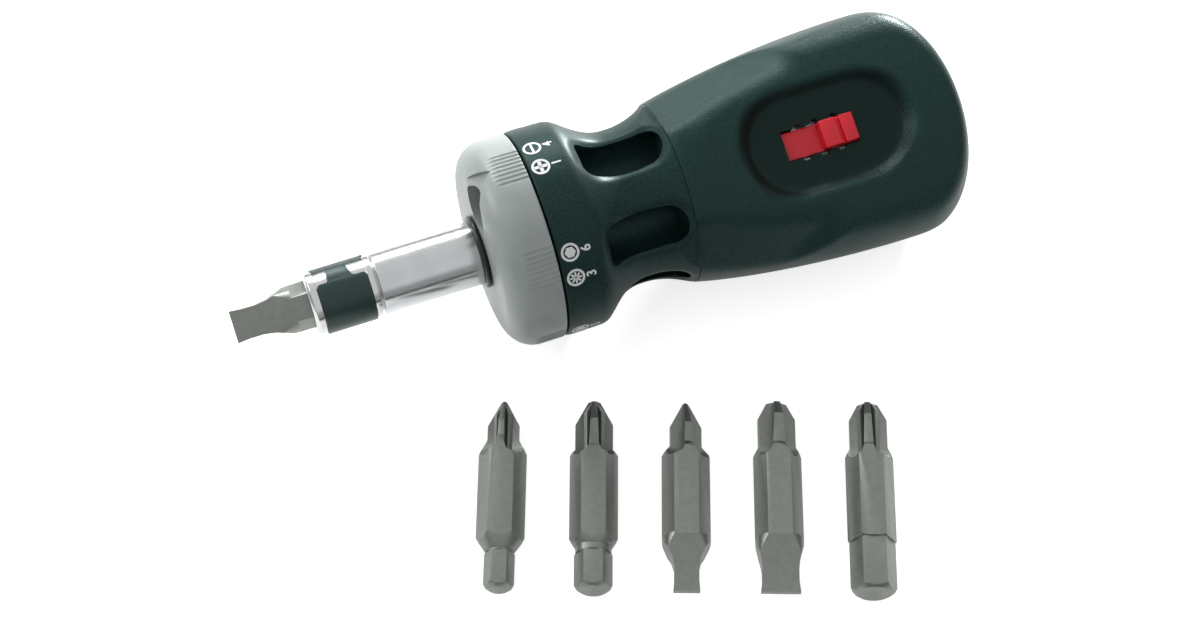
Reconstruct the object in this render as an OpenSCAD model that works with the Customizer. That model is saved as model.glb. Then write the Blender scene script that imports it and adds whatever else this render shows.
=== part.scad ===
// Ratcheting screwdriver with a turning bit selector and six double-ended hex bits.
// The tool lies on its side along X, tip towards -X, with five bits set out beside it.

/* [Bits] */
// Width across the flats of a quarter-inch hex bit
bit_af = 6.35; // [6.3:0.01:6.4]
// Length of a double-ended bit, end to end
bit_len = 31.4; // [30.6:0.1:31.6]
// Length of the full hexagon in the middle of a bit
bit_body_len = 13.8; // [13:0.1:14.4]
// Length of the sloped shoulder at each end of the hexagon
bit_shoulder_len = 1.3; // [1:0.1:1.5]
// Gap between neighbouring bits in the row, centre to centre along the row
row_pitch = 13.9; // [12:0.1:16]
// Distance from the tool's axis to the middle of the row
row_offset = 43.8; // [42:0.2:50]

/* [Holder] */
// Outside diameter of the bit holder and of its sleeve
sleeve_d = 10; // [9.9:0.05:10.2]
// Length of the holder head in front of the groove
head_len = 10.3; // [10:0.1:11]
// Width of the groove between the head and the sleeve
groove_w = 0.5; // [0.4:0.1:0.8]
// Length of the chrome sleeve
sleeve_len = 15.3; // [15:0.1:16]
// Length of the hexagon that shows in front of the holder
bit_show = 2.4; // [1.5:0.1:3]
// Gap round the hexagon in its socket, across the flats
socket_gap = 0.16; // [0.1:0.02:0.2]
// Width of the bit retaining clip along the axis
clip_w = 6.4; // [6:0.1:6.8]
// Angle round the holder that the clip covers
clip_arc = 236; // [220:2:250]

/* [Selector cap] */
// Diameter of the selector cap and of the band behind it
cap_d = 32.6; // [32.4:0.1:33.4]
// Length of the selector cap along the axis
cap_len = 8.3; // [8:0.1:9]
// Thickness of the cap's front wall
cap_wall = 2.9; // [2.6:0.1:3.2]
// Radius of the cap's rounded front shoulder
cap_round = 4.6; // [3.5:0.1:4.8]
// Gap between the cap's rear edge and the band
seam_gap = 0.3; // [0.2:0.05:0.5]
// Depth of the fine grooves between the grip ridges
ridge_depth = 0.35; // [0.2:0.05:0.5]
// Number of grip ridges in each set
ridge_count = 7; // [5:1:9]

/* [Magazine] */
// Number of bit bays round the handle
bay_count = 6; // [6]
// Radius of a bit bay
bay_r = 3.75; // [3.7:0.01:3.78]
// Distance from the cap's rim in to the middle of a bay
bay_inset = 6.5; // [6.44:0.02:6.6]
// Length of the printed band along the axis
band_len = 6.8; // [6.4:0.1:7.2]
// Depth of the neck's waist below the band
neck_waist = 4; // [3.7:0.05:4.3]
// Length of the neck between the band and the grip
neck_len = 14.9; // [14.6:0.1:15.6]
// Length of a bay's window
window_len = 13; // [12:0.1:13.4]
// Width of a bay's window
window_w = 6.3; // [6:0.1:6.6]

/* [Grip] */
// Swell of the grip's widest place beyond the band, on the radius
grip_swell = 2.1; // [1.9:0.05:2.5]
// Step from the band in to the grip's front lip, on the radius
lip_step = 1.7; // [1.3:0.05:1.8]
// Length of the grip behind its lip
grip_len = 48.4; // [48:0.1:50]
// Length of the rounded butt
butt_len = 13; // [12:0.2:14]
// Depth of the thumb flat below the grip's widest place
thumb_flat_cut = 5.8; // [5.6:0.05:6]
// Depth of the two shallow side flats below the grip's widest place
side_flat_cut = 2.8; // [2.4:0.05:3]
// Angle of the thumb flat from straight up, towards the front
thumb_angle = 23; // [20:1:26]
// Length of the thumb recess
recess_len = 27.8; // [27:0.1:28.4]
// Width of the thumb recess
recess_w = 17.2; // [16.6:0.1:17.6]
// Depth of the thumb recess
recess_depth = 2.2; // [2:0.05:2.4]
// Length of the slider's slot
slot_len = 11.2; // [11:0.1:11.6]
// Width of the slider's slot
slot_w = 4.8; // [4.6:0.1:5]

/* [Ratchet] */
// Radius of the spindle's rod
rod_r = 3.2; // [3.1:0.05:3.25]
// Radius over the tips of the ratchet gear's teeth
gear_r = 6; // [5.9:0.05:6.1]
// Number of teeth on the ratchet gear
gear_teeth = 20; // [20]
// Width of the ratchet gear
gear_w = 6; // [5:0.1:6.4]
// Travel of the direction slider
slider_travel = 4.7; // [4.4:0.1:4.8]
// Running clearance of a turning fit, on the radius
run_gap = 0.06; // [0.04:0.01:0.08]

/* [Hidden] */

// Facets of a round piece, a fine one and a small one
$fn = 96;
small_fn = 32;
arc_steps = 16;
// Overrun of every cut
over = 1;
// Gap between flat faces that turn past each other
face_gap = 0.1;

// Bits
hex_r = bit_af / sqrt(3);
cross_end_len = 9.2;
drive_end_len = 9.4;
plain_end_len = bit_len - bit_body_len - cross_end_len;
shoulder_r = 2.95;
cross_cone_angle = 26;
flute_angle = 13;
flute_gap = 0.45;
flute_share = 0.45;
hex_neck_len = 1.6;
hex_neck_gap = 0.25;
hex_end_chamfer = 1;
blade_t = 0.9;
blade_waist_share = 0.94;
blade_flare_share = 0.62;
hex_size_4 = 4;
hex_size_5 = 5;
hex_size_6 = 6;
blade_w_4 = 4;
blade_w_5 = 5;
blade_w_6 = 5.95;
cross_d_1 = 4.9;
cross_d_2 = 5.8;
cross_d_3 = 5.8;
point_r_1 = 0.35;
point_r_2 = 0.9;
point_r_3 = 1.5;
rib_d = 0.7;

// Row of loose bits: the middle one's place along X, and the row's turn
row_x = 44.7;
row_angle = 20.7;
row_steps = [-2, -1, 0, 1, 2];
row_yaws = [0, -0.3, 0, 0, 0.6];

// Holder, from its mouth at the origin
socket_af = bit_af + socket_gap;
socket_r = socket_af / sqrt(3);
sleeve_r = sleeve_d / 2;
sleeve_wall = 0.8;
block_r = sleeve_r - sleeve_wall;
mouth_chamfer = 0.5;
mouth_wall = 1.2;
bit_turn = 34;
sleeve_x = head_len + groove_w;
sleeve_end_x = sleeve_x + sleeve_len;
bit_tip_x = -bit_show - drive_end_len;
bit_inner_x = bit_tip_x + bit_len;
magnet_r = 2.6;
magnet_len = 3;
magnet_gap = 0.15;
magnet_x = bit_inner_x + magnet_gap;
ring_t = 1.2;
ring_x = sleeve_end_x + face_gap;
ring_r = 5.8;
ring_round = 0.5;
clip_t = 0.4;
clip_seat_depth = 0.15;
clip_seat_r = sleeve_r - clip_seat_depth;
clip_x = 2.2;
clip_gap = 0.1;
clip_from = 5;
clip_tab_arc = 32;
clip_tab_share = 0.3;
clip_slot_w = 0.5;
clip_slot_angle = -45;
clip_inset = 0.4;
circlip_seat_r = 2.8;

// Selector cap and magazine
cap_x = ring_x + ring_t + face_gap;
cap_r = cap_d / 2;
neck_r = cap_r - neck_waist;
band_x = cap_x + cap_len + seam_gap;
neck_x = band_x + band_len;
grip_x = neck_x + neck_len;
spigot_x = cap_x + cap_wall + seam_gap;
cap_skin = 1.6;
spigot_gap = 0.3;
spigot_r = cap_r - cap_skin - spigot_gap;
bush_wall = 0.7;
bush_r = rod_r + bush_wall;
nose_seat_wall = 0.6;
nose_seat_r = bush_r + nose_seat_wall;
nose_step = 0.4;
nose_r = nose_seat_r + nose_step;
front_bush_len = 9;
middle_bush_len = 8;
hole_gap = 0.1;
scoop_depth = 1.2;
bay_pitch_r = cap_r - bay_inset;
bay_clear = 0.5;
bay_end_x = spigot_x + bit_len + bay_clear;
bay_floor = 1;
lip_wall = 0.7;
lip_r = cap_r - lip_step;
core_r = lip_r - lip_wall;
core_end_x = bay_end_x + bay_floor;
bay_step = 360 / bay_count;
first_bay_angle = thumb_angle - bay_step / 2;
band_edge = 0.4;
neck_fall_share = 0.44;
neck_rise_share = 0.4;
profile_steps = 12;
window_round = 2.4;
window_start = 1.3;
window_x = neck_x + window_start;
scoop_lean = 46;
ridge_pitch_angle = 3.9;
ridge_groove_r = 0.45;
ridge_len = 3.4;
ridge_end_gap = 0.5;
ridge_start = cap_len - ridge_len - ridge_end_gap;

// Cap detent
ball_r = 1.1;
ball_out = 2.1;
ball_pitch_r = bay_pitch_r + ball_out;
ball_hole_r = ball_r + run_gap;
ball_proud = 0.2;
ball_travel = 0.5;
ball_hole_len = 6.4;
dimple_r = 1.3;
dimple_depth = 0.25;
detent_coil_r = 0.75;
detent_wire = 0.28;
detent_turns = 5;

// Grip
grip_r = cap_r + grip_swell;
grip_d = 2 * grip_r;
thumb_flat_h = grip_r - thumb_flat_cut;
side_flat_h = grip_r - side_flat_cut;
butt_x = grip_x + grip_len;
flare_len = grip_len - butt_len;
butt_power = 2.6;
butt_steps = 14;
flare_steps = 12;
flat_ramp_x = core_end_x - bay_floor;
flat_ramp_len = 5;
flat_ramp_rise = 3.2;
side_flat_step = 120;
recess_place = 25.6;
recess_x = grip_x + recess_place;
recess_floor_h = thumb_flat_h - recess_depth;
recess_slope = 2.9;
slot_forward = 1.9;
slot_x = recess_x - slot_forward;
cavity_margin = 3.2;
cavity_r = gear_r + cavity_margin;
cavity_x = core_end_x;
rib_len = 6.2;
rear_bush_len = 5.4;
rear_bush_gap = 0.4;
butt_hollow_len = 13.5;
butt_hollow_inset = 0.6;
butt_hollow_r = cavity_r - butt_hollow_inset;
bump_r = 0.5;
bump_count = 3;
bump_pitch = 2.9;

// Ratchet
carrier_gap = 4.8;
carrier_x = core_end_x + carrier_gap;
carrier_t = 1.6;
gear_gap = 0.3;
carrier_r = cavity_r - face_gap;
gear_x = carrier_x + carrier_t + gear_gap;
cavity_end_gap = 2.3;
cavity_end_x = gear_x + gear_w + cavity_end_gap;
rib_end_x = cavity_end_x + rib_len;
butt_hollow_end_x = rib_end_x + butt_hollow_len;
gear_root_r = 5;
tooth_tip_share = 0.14;
tooth_root_share = 0.3;
pawl_inset = 0.4;
pawl_w = gear_w - 2 * pawl_inset;
pawl_x = gear_x + pawl_inset;
pawl_nose_angle = 2 * 360 / gear_teeth;
pawl_pin_angle = 84;
pawl_pin_pitch_r = 7.6;
pawl_pin_r = 0.7;
pawl_boss_r = 1.25;
boss_proud = 0.15;
pawl_in_r = 6.5;
pawl_out_r = 7.9;
pawl_tip_gap = 0.15;
pawl_nose_r = gear_r + pawl_tip_gap;
pawl_nose_w = 0.9;
pawl_nose_tip_w = 0.4;
pin_reach = 0.6;
pawl_lift = 8;
leaf_in_r = 8.9;
leaf_out_r = 9.1;
leaf_start = 34;
leaf_sweep = 30;
rear_bush_x = cavity_end_x + rear_bush_gap;
circlip_t = 0.8;
circlip_r = 5.2;
circlip_gap = 0.3;
circlip_x = rib_end_x + circlip_gap;
rod_tail = 0.8;
rod_end_x = circlip_x + circlip_t + rod_tail;

// Direction slider, in the thumb frame
slider_gap = 0.2;
slider_w = slot_w - 2 * bump_r - slider_gap;
slider_len = slot_len - slider_travel - 2 * slider_gap;
slider_proud = 1.5;
plate_gap = 0.2;
plate_t = 0.9;
plate_w = 8;
plate_over = 0.4;
plate_top_h = cavity_r - plate_gap;
plate_len = slot_len + slider_travel + 2 * plate_over;
pocket_depth = 1.2;
pocket_floor_h = plate_top_h - plate_t - pocket_depth;
shift_t = 0.7;
shift_w = 6;
shift_len = 12;
slider_rib_w = 1;
slider_rib_pitch = 2.6;

// Turns the children's own Z onto X
module along_x() { rotate([0, 90, 0]) children(); }

// Turns the children's up direction onto the thumb flat's normal
module thumb_frame() { rotate([thumb_angle, 0, 0]) children(); }

// A turned solid whose outline runs along X
module turned(outline) { along_x() rotate_extrude() polygon([for (p = outline) [p[1], p[0]]]); }

// A ring along X
module tube_x(x, len, outer, inner) {
    translate([x, 0, 0]) along_x() difference() {
        cylinder(h = len, r = outer);
        translate([0, 0, -over]) cylinder(h = len + 2 * over, r = inner);
    }
}

// A plain round bar along X
module bar_x(x, len, radius) { translate([x, 0, 0]) along_x() cylinder(h = len, r = radius); }

// A hexagonal bar along X, with flats above and below
module hex_x(x, len, radius) {
    translate([x, 0, 0]) along_x() rotate([0, 0, 30]) cylinder(h = len, r = radius, $fn = 6);
}

// A place on the circle round the axis, at an angle from straight up towards the front
module at_angle(angle, radius) { rotate([angle, 0, 0]) translate([0, 0, radius]) children(); }

// One open helix along X, as an unbroken wire
module helix_x(len, coil_r, wire_d, turns) {
    sides = 6;
    steps = 12 * turns;
    rings = [for (i = [0 : steps]) let (turn = 360 * turns * i / steps, x = len * i / steps)
        [for (j = [0 : sides - 1]) let (a = 360 * j / sides, r = coil_r + wire_d / 2 * cos(a))
            [x + wire_d / 2 * sin(a), r * cos(turn), r * sin(turn)]]];
    walls = [for (i = [0 : steps - 1], j = [0 : sides - 1]) let (k = (j + 1) % sides)
        each [[i * sides + j, i * sides + k, (i + 1) * sides + k],
            [i * sides + j, (i + 1) * sides + k, (i + 1) * sides + j]]];
    front = [[for (j = [sides - 1 : -1 : 0]) j]];
    back = [[for (j = [0 : sides - 1]) steps * sides + j]];
    polyhedron(points = [for (ring = rings) each ring], faces = concat(front, walls, back));
}

// A point of an outline that along_x turns into at_angle's angle and radius
function spot(angle, radius) = [-radius * cos(angle), -radius * sin(angle)];

// Part of a ring along X, from an angle measured as at_angle does
module arc_x(x, len, outer, inner, from, sweep) {
    edge = [for (i = [0 : arc_steps]) from + sweep * i / arc_steps];
    back = [for (i = [arc_steps : -1 : 0]) from + sweep * i / arc_steps];
    translate([x, 0, 0]) along_x() linear_extrude(height = len)
        polygon(concat([for (a = edge) spot(a, outer)], [for (a = back) spot(a, inner)]));
}

// A wedge from the axis outwards, for parting a ring
module wedge_x(x, len, radius, from, sweep) {
    translate([x, 0, 0]) along_x() linear_extrude(height = len)
        polygon(concat([[0, 0]], [for (i = [0 : arc_steps]) spot(from + sweep * i / arc_steps, radius)]));
}

// A prism whose outline lies in the XZ plane, centred on the axis
module xz_prism(outline, width) {
    rotate([90, 0, 0]) linear_extrude(height = width, center = true) polygon(outline);
}

// A bit's hexagonal middle, with its sloped shoulders, centred on the origin's side of x
module bit_middle(x) {
    whole = bit_body_len + 2 * bit_shoulder_len;
    intersection() {
        hex_x(x - bit_shoulder_len, whole, hex_r);
        turned([[x - bit_shoulder_len, 0], [x - bit_shoulder_len, shoulder_r], [x, hex_r],
            [x + bit_body_len, hex_r], [x + bit_body_len + bit_shoulder_len, shoulder_r],
            [x + bit_body_len + bit_shoulder_len, 0]]);
    }
}

// A cross point that starts at x and points along +X
module cross_end(x, len, cross_d, point_r, ribbed) {
    r = cross_d / 2;
    cone_len = (r - point_r) / tan(cross_cone_angle);
    difference() {
        turned([[x, 0], [x, r], [x + len - cone_len, r], [x + len, point_r], [x + len, 0]]);
        for (k = [0 : 3]) rotate([45 + 90 * k, 0, 0])
            translate([x + len, 0, flute_share * point_r + flute_gap])
                rotate([0, flute_angle, 0]) rotate([45, 0, 0]) translate([-len, 0, 0])
                    cube([2 * len, cross_d, cross_d]);
    }
    if (ribbed) intersection() {
        turned([[x, 0], [x, r - rib_d], [x + len - cone_len, r - rib_d], [x + len, point_r],
            [x + len, 0]]);
        for (k = [0 : 1]) rotate([45 + 90 * k, 0, 0]) translate([x, -rib_d / 2, -r])
            cube([len, rib_d, cross_d]);
    }
}

// A flat blade that ends at x, from a shoulder at x + len
module blade_end(x, len, blade_w) {
    waist = blade_w * blade_waist_share;
    flare = len * (1 - blade_flare_share);
    intersection() {
        turned([[x, 0], [x, hex_r], [x + len, hex_r], [x + len, 0]]);
        rotate([90, 0, 0]) linear_extrude(height = 2 * hex_r, center = true) polygon([
            [x, -blade_t / 2], [x, blade_t / 2], [x + flare, blade_t], [x + len, shoulder_r],
            [x + len, -shoulder_r], [x + flare, -blade_t]]);
        linear_extrude(height = 2 * hex_r, center = true) polygon([
            [x, -blade_w / 2], [x, blade_w / 2], [x + flare, waist / 2],
            [x + len * blade_flare_share, waist / 2], [x + len, shoulder_r],
            [x + len, -shoulder_r], [x + len * blade_flare_share, -waist / 2],
            [x + flare, -waist / 2]]);
    }
}

// A hex key end that ends at x, with its neck before the shoulder at x + len
module key_end(x, len, key_af) {
    r = key_af / sqrt(3);
    neck = min(key_af / 2, shoulder_r) - hex_neck_gap;
    intersection() {
        hex_x(x, len - hex_neck_len, r);
        turned([[x, 0], [x, r - hex_end_chamfer], [x + hex_end_chamfer, r],
            [x + len, r], [x + len, 0]]);
    }
    bar_x(x + hex_end_chamfer, len - hex_end_chamfer, neck);
}

// Lies one loose bit in the row, on the surface that the tool rests on
module in_row(i) {
    translate([row_x + row_steps[i] * row_pitch * cos(row_angle),
        -row_offset - row_steps[i] * row_pitch * sin(row_angle), bit_af / 2 - cap_r])
        rotate([0, 0, 90 - row_angle - row_yaws[i]]) translate([-bit_len / 2, 0, 0]) children();
}

// A loose bit with a hex key end and a ribbed cross end
module key_bit(i, key_af, cross_d, point_r) {
    color("#8d8f8b") in_row(i) {
        key_end(0, plain_end_len, key_af);
        bit_middle(plain_end_len);
        cross_end(bit_len - cross_end_len, cross_end_len, cross_d, point_r, true);
    }
}

// A loose bit with a slotted end and a plain cross end
module slot_bit(i, blade_w, cross_d, point_r) {
    color("#8d8f8b") in_row(i) {
        blade_end(0, plain_end_len, blade_w);
        bit_middle(plain_end_len);
        cross_end(bit_len - cross_end_len, cross_end_len, cross_d, point_r, false);
    }
}

module bit_hex4() { key_bit(0, hex_size_4, cross_d_1, point_r_1); }
module bit_hex5() { key_bit(1, hex_size_5, cross_d_2, point_r_2); }
module bit_slot4() { slot_bit(2, blade_w_4, cross_d_1, point_r_1); }
module bit_slot6() { slot_bit(3, blade_w_6, cross_d_3, point_r_3); }
module bit_hex6() { key_bit(4, hex_size_6, cross_d_3, point_r_3); }

// The bit in the holder: its blade points out and its cross end faces the magnet
module drive_bit() {
    color("#8d8f8b") rotate([bit_turn, 0, 0]) translate([bit_tip_x, 0, 0]) {
        blade_end(0, drive_end_len, blade_w_5);
        bit_middle(drive_end_len);
        cross_end(drive_end_len + bit_body_len, bit_len - drive_end_len - bit_body_len,
            cross_d_2, point_r_2, false);
    }
}

// The bright head of the holder, with the hexagonal mouth and the clip's seat
module holder_head() {
    color("#d9dadb") difference() {
        turned([[0, 0], [0, sleeve_r - mouth_chamfer], [mouth_chamfer, sleeve_r],
            [clip_x, sleeve_r], [clip_x, clip_seat_r], [clip_x + clip_w, clip_seat_r],
            [clip_x + clip_w, sleeve_r], [head_len, sleeve_r], [head_len, 0]]);
        bar_x(mouth_wall, head_len, block_r);
        rotate([bit_turn, 0, 0]) hex_x(-over, head_len, socket_r);
        at_angle(clip_slot_angle, block_r - run_gap)
            translate([clip_x + clip_inset, -clip_slot_w / 2, 0])
                cube([clip_w - 2 * clip_inset, clip_slot_w, sleeve_d]);
    }
}

// The black spring clip that wraps the head and presses on the bit
module bit_clip() {
    open_arc = 360 - clip_arc - clip_tab_arc;
    color("#2f3836") {
        difference() {
            tube_x(clip_x + clip_gap, clip_w - 2 * clip_gap, clip_seat_r + clip_t, clip_seat_r);
            wedge_x(clip_x - over, clip_w + 2 * over, sleeve_d, clip_from + clip_arc, open_arc);
            wedge_x(clip_x - over, clip_w * clip_tab_share + over, sleeve_d,
                clip_from - clip_tab_arc - over, clip_tab_arc + over);
            wedge_x(clip_x + clip_w * (1 - clip_tab_share), clip_w, sleeve_d,
                clip_from - clip_tab_arc - over, clip_tab_arc + over);
        }
    }
}

// The chrome sleeve between the head and the cap
module chrome_sleeve() { color("#dcdddf") tube_x(sleeve_x, sleeve_len, sleeve_r, block_r); }

// The steel spindle: a block with the bit's socket, and the rod that carries the gear
module spindle() {
    color("#9a9c9e") difference() {
        union() {
            bar_x(mouth_wall, sleeve_end_x - mouth_wall, block_r);
            bar_x(sleeve_end_x, rod_end_x - sleeve_end_x, rod_r);
        }
        rotate([bit_turn, 0, 0]) hex_x(0, magnet_x, socket_r);
        bar_x(magnet_x - over, magnet_len + over, magnet_r);
        difference() {
            bar_x(circlip_x, circlip_t, rod_r + over);
            bar_x(circlip_x - over, circlip_t + 2 * over, circlip_seat_r);
        }
    }
}

// The magnet that holds a bit in the socket
module socket_magnet() { color("#c9c9c4") bar_x(magnet_x, magnet_len, magnet_r); }

// The ring that keeps the spindle from sliding out forwards
module spindle_circlip() { color("#777b7d") tube_x(circlip_x, circlip_t, circlip_r, circlip_seat_r); }

// The toothed gear on the spindle
module ratchet_gear() {
    pitch = 360 / gear_teeth;
    outline = [for (i = [0 : gear_teeth - 1]) for (p = [[-tooth_root_share / 2, gear_root_r],
        [tooth_root_share / 2, gear_root_r], [0.5 - tooth_tip_share / 2, gear_r],
        [0.5 + tooth_tip_share / 2, gear_r]])
        let (a = (i + p[0]) * pitch) [p[1] * cos(a), p[1] * sin(a)]];
    color("#8b8f92") thumb_frame() translate([gear_x, 0, 0]) along_x() rotate([0, 0, 180])
        difference() {
            linear_extrude(height = gear_w) polygon(outline);
            translate([0, 0, -over]) cylinder(h = gear_w + 2 * over, r = rod_r);
        }
}

// Radius of the neck at a distance behind the band
function neck_at(n) =
    let (fall = neck_len * neck_fall_share, rise = neck_len * neck_rise_share)
    n < fall ? neck_r + (cap_r - neck_r) * (1 - sin(90 * n / fall))
    : n > neck_len - rise ? neck_r + (core_r - neck_r) * (1 - cos(90 * (n - neck_len + rise) / rise))
    : neck_r;

// Radius of the grip at a distance behind its lip
function grip_at(t) =
    t < flare_len ? lip_r + (grip_r - lip_r) * sin(90 * t / flare_len)
    : grip_r * sqrt(max(0, 1 - pow((t - flare_len) / butt_len, butt_power)));

// Places its children once at every bay's angle
module each_bay(radius, turn) {
    for (k = [0 : bay_count - 1]) at_angle(first_bay_angle + turn + k * bay_step, radius) children();
}

// The moulding with the hub, the printed band, the neck, the bit bays and their windows
module magazine() {
    neck = [for (i = [1 : profile_steps]) let (n = neck_len * i / profile_steps)
        [neck_x + n, neck_at(n)]];
    color("#37423f") difference() {
        turned(concat([[ring_x, 0], [ring_x, nose_seat_r], [ring_x + ring_t, nose_seat_r],
            [ring_x + ring_t, nose_r], [spigot_x, nose_r], [spigot_x, spigot_r],
            [band_x, spigot_r], [band_x, cap_r - band_edge], [band_x + band_edge, cap_r],
            [neck_x, cap_r]], neck, [[core_end_x, core_r], [core_end_x, 0]]));
        bar_x(ring_x - over, core_end_x - ring_x + 2 * over, bush_r);
        each_bay(bay_pitch_r, 0) bar_x(spigot_x - over, bay_end_x - spigot_x + over, bay_r);
        each_bay(bay_pitch_r, 0) window_cut();
        at_angle(thumb_angle, ball_pitch_r) bar_x(spigot_x - over, ball_hole_len + over, ball_hole_r);
    }
}

// The rounded slot that opens a bay to the side
module window_cut() {
    flat = window_w / 2 - window_round;
    for (x = [window_x + window_round, window_x + window_len - window_round], y = [-flat, flat])
        translate([x, y, 0]) cylinder(h = cap_r, r = window_round);
    translate([window_x + window_round, -window_w / 2, 0])
        cube([window_len - 2 * window_round, window_w, cap_r]);
    translate([window_x, -flat, 0]) cube([window_len, 2 * flat, cap_r]);
}

// The grey cap that turns to bring its hole over one bay after another
module selector_cap() {
    arc = [for (i = [0 : profile_steps]) let (a = 90 * i / profile_steps)
        [cap_x + cap_round * (1 - cos(a)), cap_r - cap_round * (1 - sin(a))]];
    half = (ridge_count + 1) / 2;
    color("#a9b2ae") difference() {
        turned(concat([[cap_x, 0]], arc, [[cap_x + cap_len, cap_r],
            [cap_x + cap_len, cap_r - cap_skin], [cap_x + cap_wall, cap_r - cap_skin],
            [cap_x + cap_wall, 0]]));
        bar_x(cap_x - over, cap_wall + 2 * over, nose_r + run_gap);
        at_angle(first_bay_angle, bay_pitch_r) {
            bar_x(cap_x - over, cap_wall + 2 * over, bay_r + hole_gap);
            translate([cap_x + scoop_depth, 0, 0]) rotate([0, -scoop_lean, 0])
                cylinder(h = cap_r, r = bay_r);
        }
        each_bay(0, 0) for (j = [0 : ridge_count]) at_angle((j - half + 0.5) * ridge_pitch_angle,
            cap_r - ridge_depth + ridge_groove_r) bar_x(cap_x + ridge_start, cap_len, ridge_groove_r);
        each_bay(ball_pitch_r, bay_step / 2)
            translate([cap_x + cap_wall + dimple_r - dimple_depth, 0, 0]) sphere(r = dimple_r);
    }
}

// The black ring on the hub's nose that keeps the cap on
module cap_retaining_ring() {
    color("#232827") turned([[ring_x, nose_seat_r], [ring_x, ring_r - ring_round],
        [ring_x + ring_round, ring_r], [ring_x + ring_t - ring_round, ring_r],
        [ring_x + ring_t, ring_r - ring_round], [ring_x + ring_t, nose_seat_r]]);
}

// A bronze bush that carries the spindle
module bush(x, len) { color("#b08d57") tube_x(x, len, bush_r, rod_r + run_gap); }

module front_bush() { bush(ring_x + face_gap, front_bush_len); }
module middle_bush() { bush(core_end_x - middle_bush_len, middle_bush_len); }
module rear_bush() { bush(rear_bush_x, rear_bush_len); }

// The ball that clicks into the cap's dimples, and its spring
module detent_ball() {
    color("#c4c7c9") at_angle(thumb_angle, ball_pitch_r)
        translate([spigot_x - ball_proud + ball_r, 0, 0]) sphere(r = ball_r);
}

module detent_spring() {
    x = spigot_x - ball_proud + 2 * ball_r + ball_travel;
    color("#8f9496") at_angle(thumb_angle, ball_pitch_r) translate([x + detent_wire / 2, 0, 0])
        helix_x(spigot_x + ball_hole_len - x - detent_wire, detent_coil_r, detent_wire, detent_turns);
}

// The whole grip as one solid, before it is parted and hollowed
module grip_form() {
    flare = [for (i = [1 : flare_steps]) let (t = flare_len * i / flare_steps)
        [grip_x + t, grip_at(t)]];
    butt = [for (i = [1 : butt_steps - 1]) let (t = flare_len + butt_len * sin(90 * i / butt_steps))
        [grip_x + t, grip_at(t)]];
    difference() {
        turned(concat([[grip_x, 0], [grip_x, lip_r]], flare, butt, [[butt_x, 0]]));
        thumb_frame() xz_prism([[flat_ramp_x, thumb_flat_h + flat_ramp_rise],
            [flat_ramp_x + flat_ramp_len, thumb_flat_h], [butt_x + over, thumb_flat_h],
            [butt_x + over, grip_d], [flat_ramp_x, grip_d]], 2 * grip_d);
        for (turn = [-side_flat_step, side_flat_step]) rotate([turn, 0, 0]) thumb_frame()
            translate([grip_x, -grip_d, side_flat_h]) cube([2 * grip_len, 2 * grip_d, grip_d]);
        translate([grip_x, -grip_d, -cap_r - grip_d]) cube([2 * grip_len, 2 * grip_d, grip_d]);
    }
}

// The hollow inside the grip, shared by both shells
module grip_hollow() {
    bar_x(grip_x - over, core_end_x - grip_x + over, core_r);
    bar_x(cavity_x - over, cavity_end_x - cavity_x + over, cavity_r);
    bar_x(cavity_x, butt_hollow_end_x - cavity_x, bush_r);
    bar_x(rib_end_x, butt_hollow_end_x - rib_end_x, butt_hollow_r);
    thumb_frame() translate([slot_x - plate_len / 2 - slider_travel / 2 - slider_gap,
        -plate_w / 2 - slider_gap, pocket_floor_h])
        cube([plate_len + slider_travel + 2 * slider_gap, plate_w + 2 * slider_gap,
            cavity_r - pocket_floor_h]);
}

// The sloped, round-ended thumb recess
module thumb_recess() {
    floor_r = recess_w / 2 - recess_slope;
    top_r = recess_w / 2 + recess_slope * over / recess_depth;
    reach = recess_len / 2 - recess_w / 2;
    depth = recess_depth + over;
    translate([recess_x, 0, recess_floor_h]) {
        for (x = [-reach, reach]) translate([x, 0, 0]) cylinder(h = depth, r1 = floor_r, r2 = top_r);
        rotate([90, 0, 90]) linear_extrude(height = 2 * reach, center = true)
            polygon([[-floor_r, 0], [floor_r, 0], [top_r, depth], [-top_r, depth]]);
    }
}

// The slider's slot, with the bumps that hold the slider at its three stops
module slider_slot() {
    difference() {
        translate([slot_x - slot_len / 2, -slot_w / 2, pocket_floor_h])
            cube([slot_len, slot_w, thumb_flat_h]);
        for (i = [0 : bump_count - 1], y = [-slot_w / 2, slot_w / 2])
            translate([slot_x + (i - (bump_count - 1) / 2) * bump_pitch, y, 0])
                cylinder(h = grip_d, r = bump_r, $fn = small_fn);
    }
}

// The half of the grip with the thumb recess
module grip_upper_shell() {
    color("#333d3a") difference() {
        intersection() {
            grip_form();
            thumb_frame() translate([grip_x - over, -grip_d, 0])
                cube([grip_len + 2 * over, 2 * grip_d, grip_d]);
        }
        grip_hollow();
        thumb_frame() thumb_recess();
        thumb_frame() slider_slot();
    }
}

// The half of the grip below it
module grip_lower_shell() {
    color("#333d3a") difference() {
        intersection() {
            grip_form();
            thumb_frame() translate([grip_x - over, -grip_d, -grip_d])
                cube([grip_len + 2 * over, 2 * grip_d, grip_d]);
        }
        grip_hollow();
    }
}

// The disc that carries the pawls' pins and steadies the spindle
module pawl_carrier() {
    color("#80868a") difference() {
        bar_x(carrier_x, carrier_t, carrier_r);
        bar_x(carrier_x - over, carrier_t + 2 * over, rod_r + run_gap);
        for (side = [-1, 1]) at_angle(thumb_angle + side * pawl_pin_angle, pawl_pin_pitch_r)
            bar_x(carrier_x - over, carrier_t + 2 * over, pawl_pin_r);
    }
}

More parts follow.
